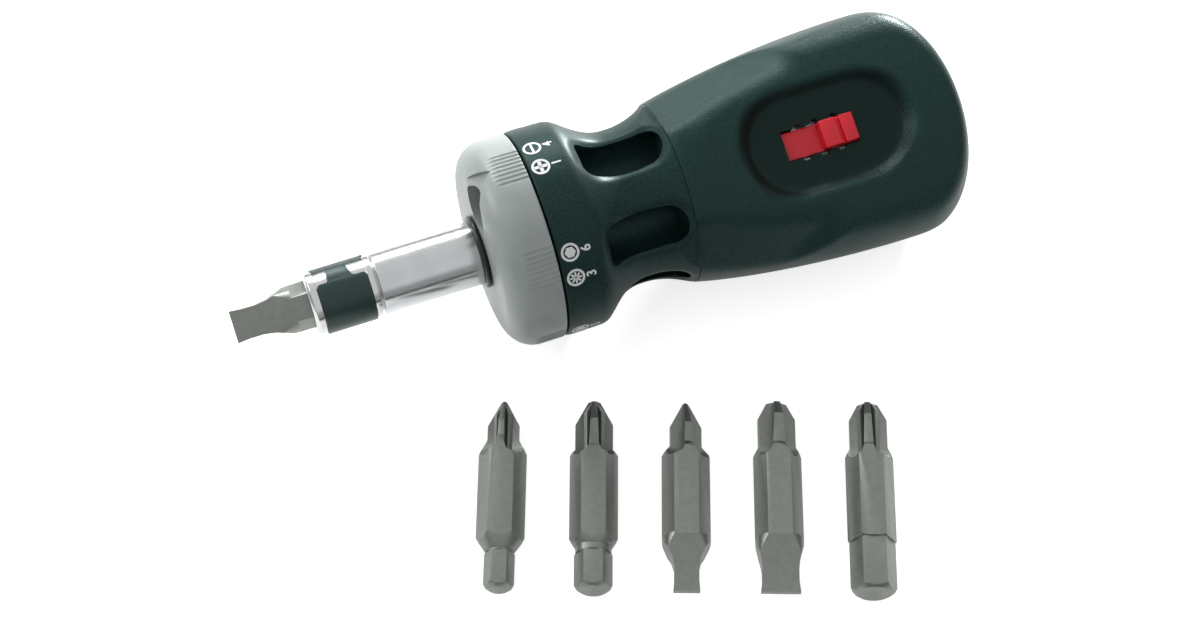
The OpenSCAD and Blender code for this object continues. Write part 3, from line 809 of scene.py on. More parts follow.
@dataclass
class Grip:
    """The black grip, with its flats, thumb recess and slider slot."""

    front_x: float = 57.25
    seam_dive: float = 0.8
    end_x: float = field(default_factory=lambda: float(node_box("grip_upper_shell")[1][0]))
    swell_r: float = 18.4
    swell_power: float = 0.85
    butt_len: float = 13.0
    butt_power: float = 2.6
    rest_z: float = field(default_factory=lambda: float(node_box("grip_lower_shell")[0][2]))
    face_h: float = 12.85
    face_crown: float = 42.0
    face_blend: float = 1.5
    ramp_end_x: float = 70.0
    ramp_curl: float = 0.018
    facet_end_x: float = 76.7
    facet_skew: float = 1.0
    facet_curl: float = 0.035
    facet_blend: float = 0.45
    side_h: float = 18.0
    side_blend: float = 0.5
    under_turn: float = 122.0
    under_h: float = 16.0
    under_blend: float = 2.2
    rest_blend: float = 1.5
    mouth_blend: float = 0.05
    recess_x: float = 82.2
    recess_len: float = 28.6
    recess_w: float = 18.8
    recess_slope: float = 2.3
    recess_floor: float = 10.3
    recess_depth: float = 2.3
    recess_wall_share: float = 0.6
    recess_fillet: float = 0.55
    recess_lip: float = 0.5
    slot_x: float = 81.3
    slot_len: float = 11.6
    slot_w: float = 4.8
    notch_r: float = 0.78
    notch_out: float = -0.2
    notch_pitch: float = 2.9
    notch_count: int = 3
    notch_sides: int = 24
    notch_sink: float = 0.05
    pocket_floor: float = 6.9
    pocket_top: float = 9.2
    pocket_w: float = 8.4
    pocket_len: float = 21.8
    pocket_step: float = 0.1
    front_inset: float = 0.9
    butt_inset: float = 1.0
    front_share: float = 0.05
    butt_share: float = 0.66
    ray_len: float = 30.0
    halvings: int = 26
    segments: int = 336
    rings: int = 256
    smooth: float = 40.0

    def radius(self, x: np.ndarray) -> np.ndarray:
        """Works out the turned body's radius in front of the butt.

        Args:
            x: The stations.

        Returns:
            The radius at each of them.
        """
        flare_len = self.end_x - self.butt_len - LAYOUT.seam_x
        share = np.clip((x - LAYOUT.seam_x) / flare_len, 0, 1)
        swell = np.sin(np.pi / 2 * share) ** self.swell_power
        return LAYOUT.seam_r + (self.swell_r - LAYOUT.seam_r) * swell - self.dive(x)

    def dive(self, x: np.ndarray) -> np.ndarray:
        """Gives how far the skin sinks under the neck's skin in front of the seam."""
        return np.maximum(LAYOUT.seam_x - x, 0) * self.seam_dive

    def outside(self, spots: np.ndarray) -> np.ndarray:
        """Measures how far places are outside the grip.

        Args:
            spots: Rows of X, Y and Z.

        Returns:
            A field that is negative inside and positive outside.
        """
        x, y, z = spots[..., 0], spots[..., 1], spots[..., 2]
        up = math.radians(THUMB_ANGLE)
        across = -y * math.cos(up) - z * math.sin(up)
        high = -y * math.sin(up) + z * math.cos(up)
        reach = np.hypot(y, z)
        butt_x = self.end_x - self.butt_len
        past = np.maximum(x - butt_x, 0) / self.butt_len
        butt = self.swell_r * (np.sqrt((reach / self.swell_r) ** 2 + past ** self.butt_power) - 1)
        body = np.where(x < butt_x, reach - self.radius(x), butt)
        ramp = self.face_h + np.maximum(self.ramp_end_x - x, 0) ** 2 * self.ramp_curl
        face = high + across ** 2 / (2 * self.face_crown) - ramp
        facet = LAYOUT.facet_h + (x - LAYOUT.seam_x) * LAYOUT.facet_rise
        for side in SIDES:
            lateral = self.lean(across, high, side * (LAYOUT.facet_turn + 90))
            past = np.maximum(x - self.facet_end_x + self.facet_skew * lateral, 0)
            front = facet + past ** 2 * self.facet_curl - self.dive(x)
            limit = -soft_max(-front, np.full_like(front, -self.side_h), self.side_blend)
            slope = self.lean(across, high, side * LAYOUT.facet_turn) - limit
            body = soft_max(body, slope, self.facet_blend)
            under = self.lean(across, high, side * self.under_turn) - self.under_h
            body = soft_max(body, under, self.under_blend)
        body = soft_max(body, face, self.face_blend)
        body = soft_max(body, self.rest_z - z, self.rest_blend)
        body = soft_max(body, self.front_x - x, self.mouth_blend)
        return soft_max(body, -self.recess(x, across, high), self.recess_lip)

    @staticmethod
    def lean(across: np.ndarray, high: np.ndarray, turn: float) -> np.ndarray:
        """Measures height along a direction turned away from the thumb face."""
        angle = math.radians(turn)
        return across * math.sin(angle) + high * math.cos(angle)

    def recess(self, x: np.ndarray, across: np.ndarray, high: np.ndarray) -> np.ndarray:
        """Measures how far places are outside the thumb recess.

        Args:
            x: The places' stations.
            across: How far they are to the side of the thumb face's middle.
            high: How high they are towards the thumb.

        Returns:
            A field that is negative inside the recess.
        """
        outline = slot_distance(x - self.recess_x, across, self.recess_len, self.recess_w,
                                self.recess_w / 2 - END_SLACK)
        lift = high - self.recess_floor
        wall = (outline + self.recess_slope * (1 - lift / self.recess_depth)) * self.recess_wall_share
        return soft_max(wall, -lift, self.recess_fillet)

    def rays(self, unit: np.ndarray) -> tuple[np.ndarray, np.ndarray]:
        """Spreads a ball's vertices along the axis as rays.

        Args:
            unit: The vertices of a ball of radius 1 with its poles on X.

        Returns:
            Where each ray starts, and its direction.
        """
        share = np.arccos(np.clip(-unit[:, 0], -1, 1)) / np.pi
        reach = np.hypot(unit[:, 1], unit[:, 2])
        side = unit[:, 1:] / np.maximum(reach, TINY)[:, None]
        ends = [self.front_x + self.front_inset, self.end_x - self.butt_len + self.butt_inset]
        x = np.interp(share, [self.front_share, self.butt_share], ends)
        tilt = np.radians(np.interp(share, [0, self.front_share, self.butt_share, 1], [-90, 0, 0, 90]))
        start = np.stack([x, np.zeros_like(x), np.zeros_like(x)], axis=1)
        way = np.concatenate([np.sin(tilt)[:, None], side * np.cos(tilt)[:, None]], axis=1)
        pole = reach < MERGE
        way[pole] = np.stack([np.sign(unit[pole, 0]), 0 * x[pole], 0 * x[pole]], axis=1)
        return start, way

    def build(self) -> bpy.types.Object:
        """Models the grip and stands it in for both shells.

        Returns:
            The finished grip.
        """
        Bench.clear()
        bpy.ops.mesh.primitive_uv_sphere_add(
            segments=self.segments, ring_count=self.rings, radius=1.0, rotation=(0, math.pi / 2, 0))
        piece = Bench.named("grip_moulding")
        start, way = self.rays(Bench.points(piece))
        near, far = np.zeros(len(start)), np.full(len(start), self.ray_len)
        for _ in range(self.halvings):
            middle = (near + far) / 2
            inside = self.outside(start + way * middle[:, None]) < 0
            near, far = np.where(inside, middle, near), np.where(inside, far, middle)
        Bench.place_points(piece, start + way * near[:, None])
        Bench.combine(piece, self.slot_cutter())
        return Bench.finish(piece, "handle", "black_plastic", BLACK_PLASTIC,
                            ("grip_upper_shell", "grip_lower_shell"), self.smooth)

    def slot_cutter(self) -> bpy.types.Object:
        """Models the slider's slot, with its click notches and the pocket below.

        Returns:
            The cutter.
        """
        half_l, half_w = self.slot_len / 2, self.slot_w / 2
        cutter = Bench.block("slot_cutter", (self.slot_x - half_l, -half_w, self.pocket_floor),
                             (self.slot_x + half_l, half_w, self.swell_r))
        for k in range(self.notch_count):
            x = self.slot_x + (k - (self.notch_count - 1) / 2) * self.notch_pitch
            middle = (self.swell_r + self.pocket_top) / 2 - self.notch_sink
            for side in SIDES:
                notch = Bench.peg("notch", (x, side * (half_w + self.notch_out), middle), self.notch_r,
                                  self.swell_r - self.pocket_top, self.notch_sides)
                Bench.combine(cutter, notch, "UNION")
        pocket_x = self.slot_x - self.pocket_len / 2
        Bench.combine(cutter, Bench.block(
            "pocket", (pocket_x, -self.pocket_w / 2, self.pocket_floor + self.pocket_step),
            (pocket_x + self.pocket_len, self.pocket_w / 2, self.pocket_top)), "UNION")
        Bench.roll(cutter, THUMB_ANGLE)
        return cutter


@dataclass
class Slider:
    """The red direction slider in the thumb recess."""

    rest_x: float = 83.85
    piece_len: float = 5.5
    piece_w: float = 4.35
    foot_h: float = 8.9
    top_h: float = 11.75
    groove_w: float = 0.55
    groove_depth: float = 0.75
    front_share: float = 0.55
    thumb_edge: float = 0.22
    plate_edge: float = 0.15
    plate_len: float = 16.7
    plate_w: float = 4.45
    plate_t: float = 1.2
    plate_top: float = 9.55
    rear_gap: float = 0.25
    slot_end_x: float = 87.1

    def build(self) -> bpy.types.Object:
        """Models the slider and stands it in for its CAD node.

        Returns:
            The finished slider.
        """
        end = self.slot_end_x - self.rear_gap
        start = end - self.piece_len
        thumb = Bench.block("slider_thumb", (start, -self.piece_w / 2, self.foot_h),
                            (end, self.piece_w / 2, self.top_h))
        groove_x = start + self.piece_len * self.front_share
        Bench.combine(thumb, Bench.block(
            "groove", (groove_x - self.groove_w / 2, -self.piece_w, self.top_h - self.groove_depth),
            (groove_x + self.groove_w / 2, self.piece_w, self.top_h + OVERRUN)))
        Bench.bevel(thumb, self.thumb_edge, segments=3)
        half_l, half_w = self.plate_len / 2, self.plate_w / 2
        foot = (self.rest_x - half_l, -half_w, self.plate_top - self.plate_t)
        plate = Bench.block("slider_plate", foot, (self.rest_x + half_l, half_w, self.plate_top))
        Bench.bevel(plate, self.plate_edge)
        slider = Bench.join("slider_button", [thumb, plate])
        Bench.roll(slider, THUMB_ANGLE)
        return Bench.finish(slider, "slider", "red_plastic", RED_PLASTIC, ("direction_slider",))


@dataclass
class Magazine:
    """The moulding with the printed band, the neck, the bit bays and their windows."""

    nose_x: float = 26.2
    nose_r: float = 4.9
    hub_x: float = 30.7
    hub_r: float = 14.4
    band_edge: float = 0.4
    edge_steps: int = 5
    band_land: float = 3.0
    neck_x: float = 42.9
    neck_lead: float = 1.3
    neck_r: float = 12.5
    neck_land: float = 0.3
    fall_share: float = 0.5
    rise_share: float = 0.45
    edge_round: float = 1.0
    facet_len: float = 4.5
    core_x: float = 63.6
    core_r: float = 13.4
    bore_r: float = 3.9
    bay_r: float = 3.75
    bay_end_x: float = 62.6
    window_x: float = 44.2
    window_len: float = 13.0
    window_w: float = 6.3
    window_corner: float = 2.6
    window_front: float = 1.1
    rim_w: float = 1.5
    rim_depth: float = 0.6
    rim_lead: float = 1.5
    rim_lift: float = 0.3
    skin_slack: float = 0.1
    corner_steps: int = 13
    sides: int = 384
    bore_sides: int = 96
    neck_steps: int = 78
    smooth: float = 38.0

    def neck_radius(self, x: float) -> float:
        """Gives the neck's radius at a station, from the band's rear edge to the seam.

        Args:
            x: The station.

        Returns:
            The radius.
        """
        length = LAYOUT.seam_x - self.neck_x
        past = x - self.neck_x
        fall, rise = length * self.fall_share, length * self.rise_share
        if past < fall:
            drop = LAYOUT.band_r - self.neck_r
            level = past / fall if past < 0 else math.sin(math.pi / 2 * past / fall) * 2 / math.pi
            curve = LAYOUT.band_r - drop * level * math.pi / 2
            near = max(self.edge_round - abs(curve - LAYOUT.band_r), 0.0)
            return min(curve, LAYOUT.band_r) - near * near / (4 * self.edge_round)
        if past > length - rise:
            share = (past - length + rise) / rise
            return self.neck_r + (LAYOUT.seam_r - self.neck_r) * (1 - math.cos(math.pi / 2 * share))
        return self.neck_r

    def outline(self) -> list[Point]:
        """Lists the moulding's outline, from its nose to its rear end.

        Returns:
            The (x, radius) points.
        """
        run = np.linspace(self.neck_x - self.neck_lead, LAYOUT.seam_x, self.neck_steps + 1)
        land_x = LAYOUT.seam_x + self.neck_land
        return [(self.nose_x, 0.0), (self.nose_x, self.nose_r), (self.hub_x, self.nose_r),
                (self.hub_x, self.hub_r), (LAYOUT.band_x, self.hub_r),
                *rounded(LAYOUT.band_x, LAYOUT.band_r, self.band_edge, self.edge_steps),
                (self.neck_x - self.band_land, LAYOUT.band_r),
                *((float(x), self.neck_radius(float(x))) for x in run),
                (land_x, LAYOUT.seam_r), (land_x, self.core_r),
                (self.core_x, self.core_r), (self.core_x, 0.0)]

    def soften_rims(self, piece: bpy.types.Object) -> None:
        """Dishes the neck's skin round every window and flattens it where the grip's facets start.

        Args:
            piece: The turned moulding.
        """
        spots = Bench.points(piece)
        x, y, z = spots.T
        reach = np.hypot(y, z)
        skin = ((x > self.neck_x - self.rim_lead) & (x < LAYOUT.seam_x + self.skin_slack)
                & (reach > self.neck_r - self.skin_slack))
        angle = np.degrees(np.arctan2(-y, z))
        middle = self.window_x + self.window_len / 2
        sink = np.zeros_like(x)
        for bay in bay_angles():
            off = (angle - bay + 180) % 360 - 180
            arc = np.radians(off) * (self.neck_r + self.rim_lift)
            far = slot_distance(x - middle, arc, self.window_len, self.window_w, self.window_corner)
            share = np.clip(1 - far / self.rim_w, 0, 1)
            sink = np.maximum(sink, self.rim_depth * share ** 2)
        limit = LAYOUT.facet_h + (x - LAYOUT.seam_x) * LAYOUT.facet_rise
        for side in SIDES:
            lean = reach * np.cos(np.radians(angle - THUMB_ANGLE - side * LAYOUT.facet_turn))
            over = (lean > limit) & (x > LAYOUT.seam_x - self.facet_len)
            sink = np.maximum(sink, np.where(over, reach * (1 - limit / np.maximum(lean, 1)), 0))
        scale = np.where(skin, (reach - sink) / np.maximum(reach, TINY), 1.0)
        spots[:, 1] *= scale
        spots[:, 2] *= scale
        Bench.place_points(piece, spots)

    def window_cutter(self) -> bpy.types.Object:
        """Models one window's cutter, pointing straight up.

        Returns:
            The cutter.
        """
        half_l, half_w = self.window_len / 2, self.window_w / 2
        middle = self.window_x + half_l
        corners = []
        for end, side, start in ((1, 1, 0), (-1, 1, 90), (-1, -1, 180), (1, -1, 270)):
            round_r = self.window_corner if end > 0 else self.window_front
            for turn in np.radians(np.linspace(start, start + 90, self.corner_steps)):
                x = middle + end * (half_l - round_r) + round_r * math.cos(turn)
                across = side * (half_w - round_r) + round_r * math.sin(turn)
                corners.append((x, across, LAYOUT.bay_pitch_r))
        return Bench.prism("window_cutter", corners, (0.0, 0.0, LAYOUT.band_r))

    def build(self) -> bpy.types.Object:
        """Models the magazine and stands it in for its CAD node.

        Returns:
            The finished magazine.
        """
        piece = Bench.turned("magazine_moulding", self.outline(), self.sides)
        self.soften_rims(piece)
        bore_len = self.core_x - self.nose_x + 2 * OVERRUN
        bore = Bench.bar("bore", self.nose_x - OVERRUN, bore_len, self.bore_r, self.bore_sides)
        Bench.combine(piece, bore)
        bay_len = self.bay_end_x - self.hub_x + OVERRUN
        for bay in bay_angles():
            hole = Bench.bar("bay", self.hub_x - OVERRUN, bay_len, self.bay_r, self.bore_sides,
                             around(bay, LAYOUT.bay_pitch_r))
            Bench.combine(piece, hole)
            window = self.window_cutter()
            Bench.roll(window, bay)
            Bench.combine(piece, window)
        return Bench.finish(piece, "handle", "black_plastic", BAND_PLASTIC, ("magazine",), self.smooth)


@dataclass
class SelectorCap:
    """The grey cap that turns to bring its hole over one bay after another."""

    front_x: float = field(default_factory=lambda: float(node_box("selector_cap")[0][0]))
    rear_x: float = field(default_factory=lambda: float(node_box("selector_cap")[1][0]))
    radius: float = field(default_factory=lambda: float(node_box("selector_cap")[1][2]))
    shoulder: float = 4.6
    wall: float = 2.9
    skin: float = 1.6
    rear_edge: float = 0.25
    bore_r: float = 4.96
    hole_r: float = 3.85
    scoop_foot: Point = (26.67, 11.6)
    scoop_tip: Point = (30.9, 16.05)
    scoop_w: float = 8.6
    scoop_depth: float = 6.0
    scoop_turn: float = -5.0
    ridge_count: int = 8
    ridge_pitch: float = 2.85
    ridge_turn: float = -3.0
    groove_r: float = 0.4
    groove_depth: float = 0.2
    ridge_len: float = 6.3
    arc_steps: int = 18
    edge_steps: int = 5
    sides: int = 256
    bore_sides: int = 96
    groove_sides: int = 16
    smooth: float = 35.0

    def build(self) -> bpy.types.Object:
        """Models the cap and stands it in for its CAD node.

        Returns:
            The finished cap.
        """
        inner = self.radius - self.skin
        cap = Bench.turned("selector_cap_shell", [
            (self.front_x, 0.0), *rounded(self.front_x, self.radius, self.shoulder, self.arc_steps),
            *rounded(self.rear_x, self.radius, self.rear_edge, self.edge_steps, rear=True),
            (self.rear_x, inner), (self.front_x + self.wall, inner), (self.front_x + self.wall, 0.0)],
            self.sides)
        Bench.combine(cap, self.bore("bore", self.bore_r, (0.0, 0.0)))
        self.cut_hole(cap)
        self.cut_ridges(cap)
        return Bench.finish(cap, "cap", "grey_plastic", GREY_PLASTIC, ("selector_cap",), self.smooth)

    def bore(self, name: str, radius: float, yz: Point) -> bpy.types.Object:
        """Models a cutter that goes through the cap's front wall."""
        length = self.wall + 2 * OVERRUN
        return Bench.bar(name, self.front_x - OVERRUN, length, radius, self.bore_sides, yz)

    def cut_hole(self, cap: bpy.types.Object) -> None:
        """Cuts the bit hole and the scoop that leads out of it.

        Args:
            cap: The cap.
        """
        Bench.combine(cap, self.bore("hole", self.hole_r, around(FIRST_BAY, LAYOUT.bay_pitch_r)))
        (foot_x, foot_r), (tip_x, tip_r) = self.scoop_foot, self.scoop_tip
        half = self.scoop_w / 2
        way = Vector((foot_x - tip_x, 0.0, foot_r - tip_r)).normalized()
        out = Vector((way.z, 0.0, -way.x)) * self.scoop_depth
        corners = [(tip_x, 0.0, tip_r), (foot_x, half, foot_r), (foot_x, -half, foot_r)]
        scoop = Bench.prism("scoop", corners, out)
        Bench.roll(scoop, FIRST_BAY + self.scoop_turn)
        Bench.combine(cap, scoop)

    def cut_ridges(self, cap: bpy.types.Object) -> None:
        """Cuts the fine grooves of the six grip patches.

        Args:
            cap: The cap.
        """
        grooves = []
        half = (self.ridge_count - 1) / 2
        reach = self.radius - self.groove_depth + self.groove_r
        start, length = self.rear_x - self.ridge_len, self.ridge_len + OVERRUN
        for bay in bay_angles():
            for k in range(self.ridge_count):
                yz = around(bay + self.ridge_turn + (k - half) * self.ridge_pitch, reach)
                grooves.append(Bench.bar("groove", start, length, self.groove_r, self.groove_sides, yz))
        Bench.combine(cap, Bench.join("grooves", grooves))


class Symbol(Enum):
    """The kinds of symbol on the band."""

    SLOT = "slot"
    PLUS = "plus"
    HEXAGON = "hexagon"
    STAR = "star"


@dataclass(frozen=True)
class Strokes:
    """The bars that cross inside a symbol's ring."""

    turns: tuple[float, ...]
    length_share: float = 1.0
    width_share: float = 1.0


STROKES = {Symbol.SLOT: Strokes((0,)), Symbol.PLUS: Strokes((0, 90), 0.8, 1.5),
           Symbol.STAR: Strokes((0, 45, 90, 135), 0.74, 0.8)}


@dataclass
class Marks:
    """The white symbols and sizes printed on the band."""

    symbol_x: float = 1.9
    digit_x: float = 4.4
    spread: float = 7.3
    ring_r: float = 1.42
    ring_sides: int = 48
    line_w: float = 0.36
    hexagon_share: float = 0.62
    digit_h: float = 1.5
    digit_share: float = 0.72
    digit_weight: float = 0.045
    digit_steps: int = 6
    proud: float = 0.03
    depth: float = 0.12
    shifts: tuple[float, ...] = (-4.4, -0.4, 0.0, 0.0, 0.0, 0.0)

    def rows(self) -> list[tuple[tuple[Symbol, str], tuple[Symbol, str]]]:
        """Lists what is printed beside each bay.

        Returns:
            Every bay's two symbols, with their sizes.
        """
        slot, plus, hexagon, star = Symbol.SLOT, Symbol.PLUS, Symbol.HEXAGON, Symbol.STAR
        return [((slot, "4"), (plus, "1")), ((hexagon, "6"), (star, "3")), ((hexagon, "5"), (star, "2")),
                ((slot, "6"), (plus, "3")), ((hexagon, "4"), (star, "1")), ((slot, "5"), (plus, "2"))]

    def build(self) -> bpy.types.Object:
        """Prints every bay's two symbols and sizes.

        Returns:
            The finished marks, as one piece.
        """
        pieces = []
        for bay, row, shift in zip(bay_angles(), self.rows(), self.shifts):
            for (symbol, size), side in zip(row, SIDES):
                angle = bay + shift + side * self.spread
                pieces += [self.lay(part, angle, self.symbol_x) for part in self.symbol(symbol)]
                pieces.append(self.lay(self.digit(size), angle, self.digit_x))
        marks = Bench.join("band_marks", pieces)
        return Bench.finish(marks, "handle", "black_plastic", WHITE_INK)

    def lay(self, part: bpy.types.Object, angle: float, along: float) -> bpy.types.Object:
        """Turns a flat part so that its up side points to the tip, and lays it on the band.

        Args:
            part: The part, flat on the XY plane.
            angle: Where it goes round the band, in degrees.
            along: Where it goes along the band.

        Returns:
            The same part.
        """
        Bench.roll(part, 90, "Z")
        height = LAYOUT.band_r + self.proud - self.depth
        Bench.turn(part, Matrix.Translation((LAYOUT.band_x + along, 0, height)))
        Bench.roll(part, angle)
        return part

    def symbol(self, kind: Symbol) -> list[bpy.types.Object]:
        """Models one ring-framed symbol, flat on the XY plane.

        Args:
            kind: Which symbol it is.

        Returns:
            Its parts.
        """
        ring = Bench.bar("ring", 0, self.depth, self.ring_r, self.ring_sides)
        inner_r, inner_len = self.ring_r - self.line_w, 2 * OVERRUN + self.depth
        Bench.combine(ring, Bench.bar("inner", -OVERRUN, inner_len, inner_r, self.ring_sides))
        Bench.roll(ring, -90, "Y")
        if kind is Symbol.HEXAGON:
            hexagon = Bench.bar("hexagon", 0, self.depth, self.ring_r * self.hexagon_share, 6)
            Bench.roll(hexagon, -90, "Y")
            return [ring, hexagon]
        parts = [ring]
        strokes = STROKES[kind]
        half_l = (2 * self.ring_r - self.line_w) * strokes.length_share / 2
        half_w = self.line_w * strokes.width_share / 2
        for turn in strokes.turns:
            bar = Bench.block("bar", (-half_l, -half_w, 0), (half_l, half_w, self.depth))
            Bench.roll(bar, turn, "Z")
            parts.append(bar)
        return parts

    def digit(self, text: str) -> bpy.types.Object:
        """Models one digit, flat on the XY plane.

        Args:
            text: The digit.

        Returns:
            The digit as a mesh.
        """
        Bench.clear()
        bpy.ops.object.text_add()
        letter = bpy.context.object
        letter.data.body = text
        letter.data.align_x = "CENTER"
        letter.data.align_y = "CENTER"
        letter.data.size = self.digit_h / self.digit_share
        letter.data.extrude = self.depth / 2
        letter.data.offset = self.digit_weight
        letter.data.resolution_u = self.digit_steps
        bpy.ops.object.convert(target="MESH")
        digit = bpy.context.object
        Bench.turn(digit, Matrix.Translation((0, 0, self.depth / 2)))
        return digit


@dataclass
class Holder:
    """The bit holder: bright head, black clip, sleeve and the ring behind it."""

    head_len: float = 10.3
    radius: float = 5.0
    seat_r: float = 4.85
    mouth_chamfer: float = 0.5
    head_edge: float = 0.09
    socket_af: float = 6.51
    mouth_wall: float = 1.2
    bore_r: float = 4.2
    clip_x: float = 1.5
    clip_w: float = 7.9
    clip_t: float = 0.42
    clip_gap: float = 0.1
    clip_edge: float = 0.07
    clip_step: float = 3.0
    clip_from: float = 5.0
    clip_arc: float = 236.0
    tab_arc: float = 32.0
    tab_x: tuple[float, float, float] = (3.5, 6.6, 7.2)
    step_r: float = 0.55
    slot_angle: float = -38.0
    slot_w: float = 0.85
    slot_x: Pair = (2.2, 8.7)
    slot_end_r: float = 0.95
    slot_end_h: float = 3.0
    slot_end_lift: float = 1.4
    slot_sink: float = 0.1
    leaf_r: float = 4.83
    leaf_edge: float = 0.08
    sleeve_x: float = 10.75
    sleeve_len: float = 15.85
    sleeve_edge: float = 0.14
    ring_x: float = 26.6
    ring_len: float = 0.86
    ring_r: float = 5.75
    ring_seat_r: float = 4.5
    sides: int = 160
    bore_sides: int = 96
    peg_sides: int = 32
    ring_steps: int = 17
    ring_sides: int = 128
    head_smooth: float = 30.0
    smooth: float = 35.0
    ring_smooth: float = 50.0

    def build(self) -> list[bpy.types.Object]:
        """Models the four pieces.

        Returns:
            The finished head, clip, sleeve and ring.
        """
        return [self.head(), self.clip(), self.sleeve(), self.ring()]

    def head(self) -> bpy.types.Object:
        """Models the bright head with its hexagonal mouth, the clip's seat and its slot.

        Returns:
            The finished head.
        """
        end = self.clip_x + self.clip_w
        head = Bench.turned("holder_head_turned", [
            (0.0, 0.0), (0.0, self.radius - self.mouth_chamfer), (self.mouth_chamfer, self.radius),
            (self.clip_x, self.radius), (self.clip_x, self.seat_r), (end, self.seat_r),
            (end, self.radius), (self.head_len, self.radius), (self.head_len, 0.0)], self.sides)
        Bench.bevel(head, self.head_edge, segments=3, angle=25)
        bore = Bench.bar("bore", self.mouth_wall, self.head_len, self.bore_r, self.bore_sides)
        Bench.combine(head, bore)
        socket = Bench.bar("socket", -OVERRUN, self.head_len + OVERRUN, self.socket_af / math.sqrt(3), 6)
        Bench.roll(socket, LAYOUT.bit_turn)
        Bench.combine(head, socket)
        slot = Bench.block("slot", (self.slot_x[0], -self.slot_w / 2, self.bore_r - self.slot_sink),
                           (self.slot_x[1], self.slot_w / 2, self.radius + OVERRUN))
        for x in self.slot_x:
            end_round = Bench.peg("slot_end", (x, 0, self.bore_r + self.slot_end_lift), self.slot_end_r,
                                  self.slot_end_h, self.peg_sides)
            Bench.combine(slot, end_round, "UNION")
        Bench.roll(slot, self.slot_angle)
        Bench.combine(head, slot)
        return Bench.finish(head, "spindle", "chrome", HEAD_CHROME, ("holder_head",), self.head_smooth)

    def clip(self) -> bpy.types.Object:
        """Models the black clip, cut flat and rolled round the head, with the leaf under its slot.

        Returns:
            The finished clip.
        """
        start, end = self.clip_x + self.clip_gap, self.clip_x + self.clip_w - self.clip_gap
        low, high, foot = self.tab_x
        arc = math.radians(1) * self.seat_r
        top, tab = self.clip_from * arc, (self.clip_from - self.tab_arc) * arc
        bottom = (self.clip_from + self.clip_arc) * arc
        flat = Bench.line("bit_clip_rolled", [
            (start, bottom, 0), (start, top, 0), (low, top, 0), (low, tab, 0),
            (high, tab, 0), (foot, top, 0), (end, top, 0), (end, bottom, 0)])
        bpy.ops.mesh.edge_face_add()
        bpy.ops.mesh.bevel(offset=self.step_r, segments=6, affect="VERTICES")
        steps = int((self.clip_arc + self.tab_arc) / self.clip_step)
        for k in range(1, steps):
            bpy.ops.mesh.select_all(action="SELECT")
            cut = tab + (self.clip_arc + self.tab_arc) * arc * k / steps
            bpy.ops.mesh.bisect(plane_co=(0, cut, 0), plane_no=(0, 1, 0))
        bpy.ops.object.mode_set(mode="OBJECT")
        spots = Bench.points(flat)
        turn = spots[:, 1] / self.seat_r
        spots[:, 1], spots[:, 2] = -self.seat_r * np.sin(turn), self.seat_r * np.cos(turn)
        Bench.place_points(flat, spots)
        Bench.mend(flat)
        half_w = self.slot_end_r
        leaf = Bench.block("leaf", (self.slot_x[0] - half_w, -half_w, self.leaf_r - self.clip_t),
                           (self.slot_x[1] + half_w, half_w, self.leaf_r))
        Bench.bevel(leaf, self.leaf_edge)
        Bench.roll(leaf, self.slot_angle)
        outward = sum(face.normal.dot((0, face.center.y, face.center.z)) * face.area
                      for face in flat.data.polygons)
        Bench.modify(flat, "SOLIDIFY", thickness=self.clip_t, offset=1.0 if outward > 0 else -1.0)
        Bench.bevel(flat, self.clip_edge, angle=50)
        Bench.mend(flat)
        clip = Bench.join("bit_clip_rolled", [flat, leaf])
        return Bench.finish(clip, "spindle", "black_spring_steel", CLIP_STEEL, ("bit_clip",), self.smooth)

    def sleeve(self) -> bpy.types.Object:
        """Models the polished sleeve.

        Returns:
            The finished sleeve.
        """
        end = self.sleeve_x + self.sleeve_len
        sleeve = Bench.turned("sleeve_turned", [
            (self.sleeve_x, self.bore_r), (self.sleeve_x, self.radius), (end, self.radius),
            (end, self.bore_r), (self.sleeve_x, self.bore_r)], self.sides)
        Bench.bevel(sleeve, self.sleeve_edge, segments=4)
        return Bench.finish(sleeve, "spindle", "chrome", CHROME, ("chrome_sleeve",), self.smooth)

    def ring(self) -> bpy.types.Object:
        """Models the rounded black ring.

        Returns:
            The finished ring.
        """
        half = self.ring_len / 2
        bulge = [(self.ring_x + half - half * math.cos(a), self.ring_r - half + half * math.sin(a))
                 for a in np.linspace(0, math.pi, self.ring_steps)]
        ring = Bench.turned("ring_rounded", [
            (self.ring_x, self.ring_seat_r), *bulge, (self.ring_x + self.ring_len, self.ring_seat_r),
            (self.ring_x, self.ring_seat_r)], self.ring_sides)
        return Bench.finish(ring, "handle", "ring_rubber", RING_RUBBER, ("cap_retaining_ring",),
                            self.ring_smooth)


class NearEnd(Enum):
    """What a bit has at the end opposite its cross point."""

    KEY = "key"
    BLADE = "blade"


FLUTE_TURNS = (45, 135, 225, 315)
FLUTE_SHARES = (0.4, 0.5)
BLADE_SIDE_SHARES = ((0.0, 0.5), (0.2, 0.62), (0.5, 1.45))
BLADE_PLAN_SHARES = ((0.42, 0.0), (0.62, 0.2), (0.8, 0.62), (0.92, 1.0))
KEY_CHAMFER_SHARES = (0.5, 0.28)


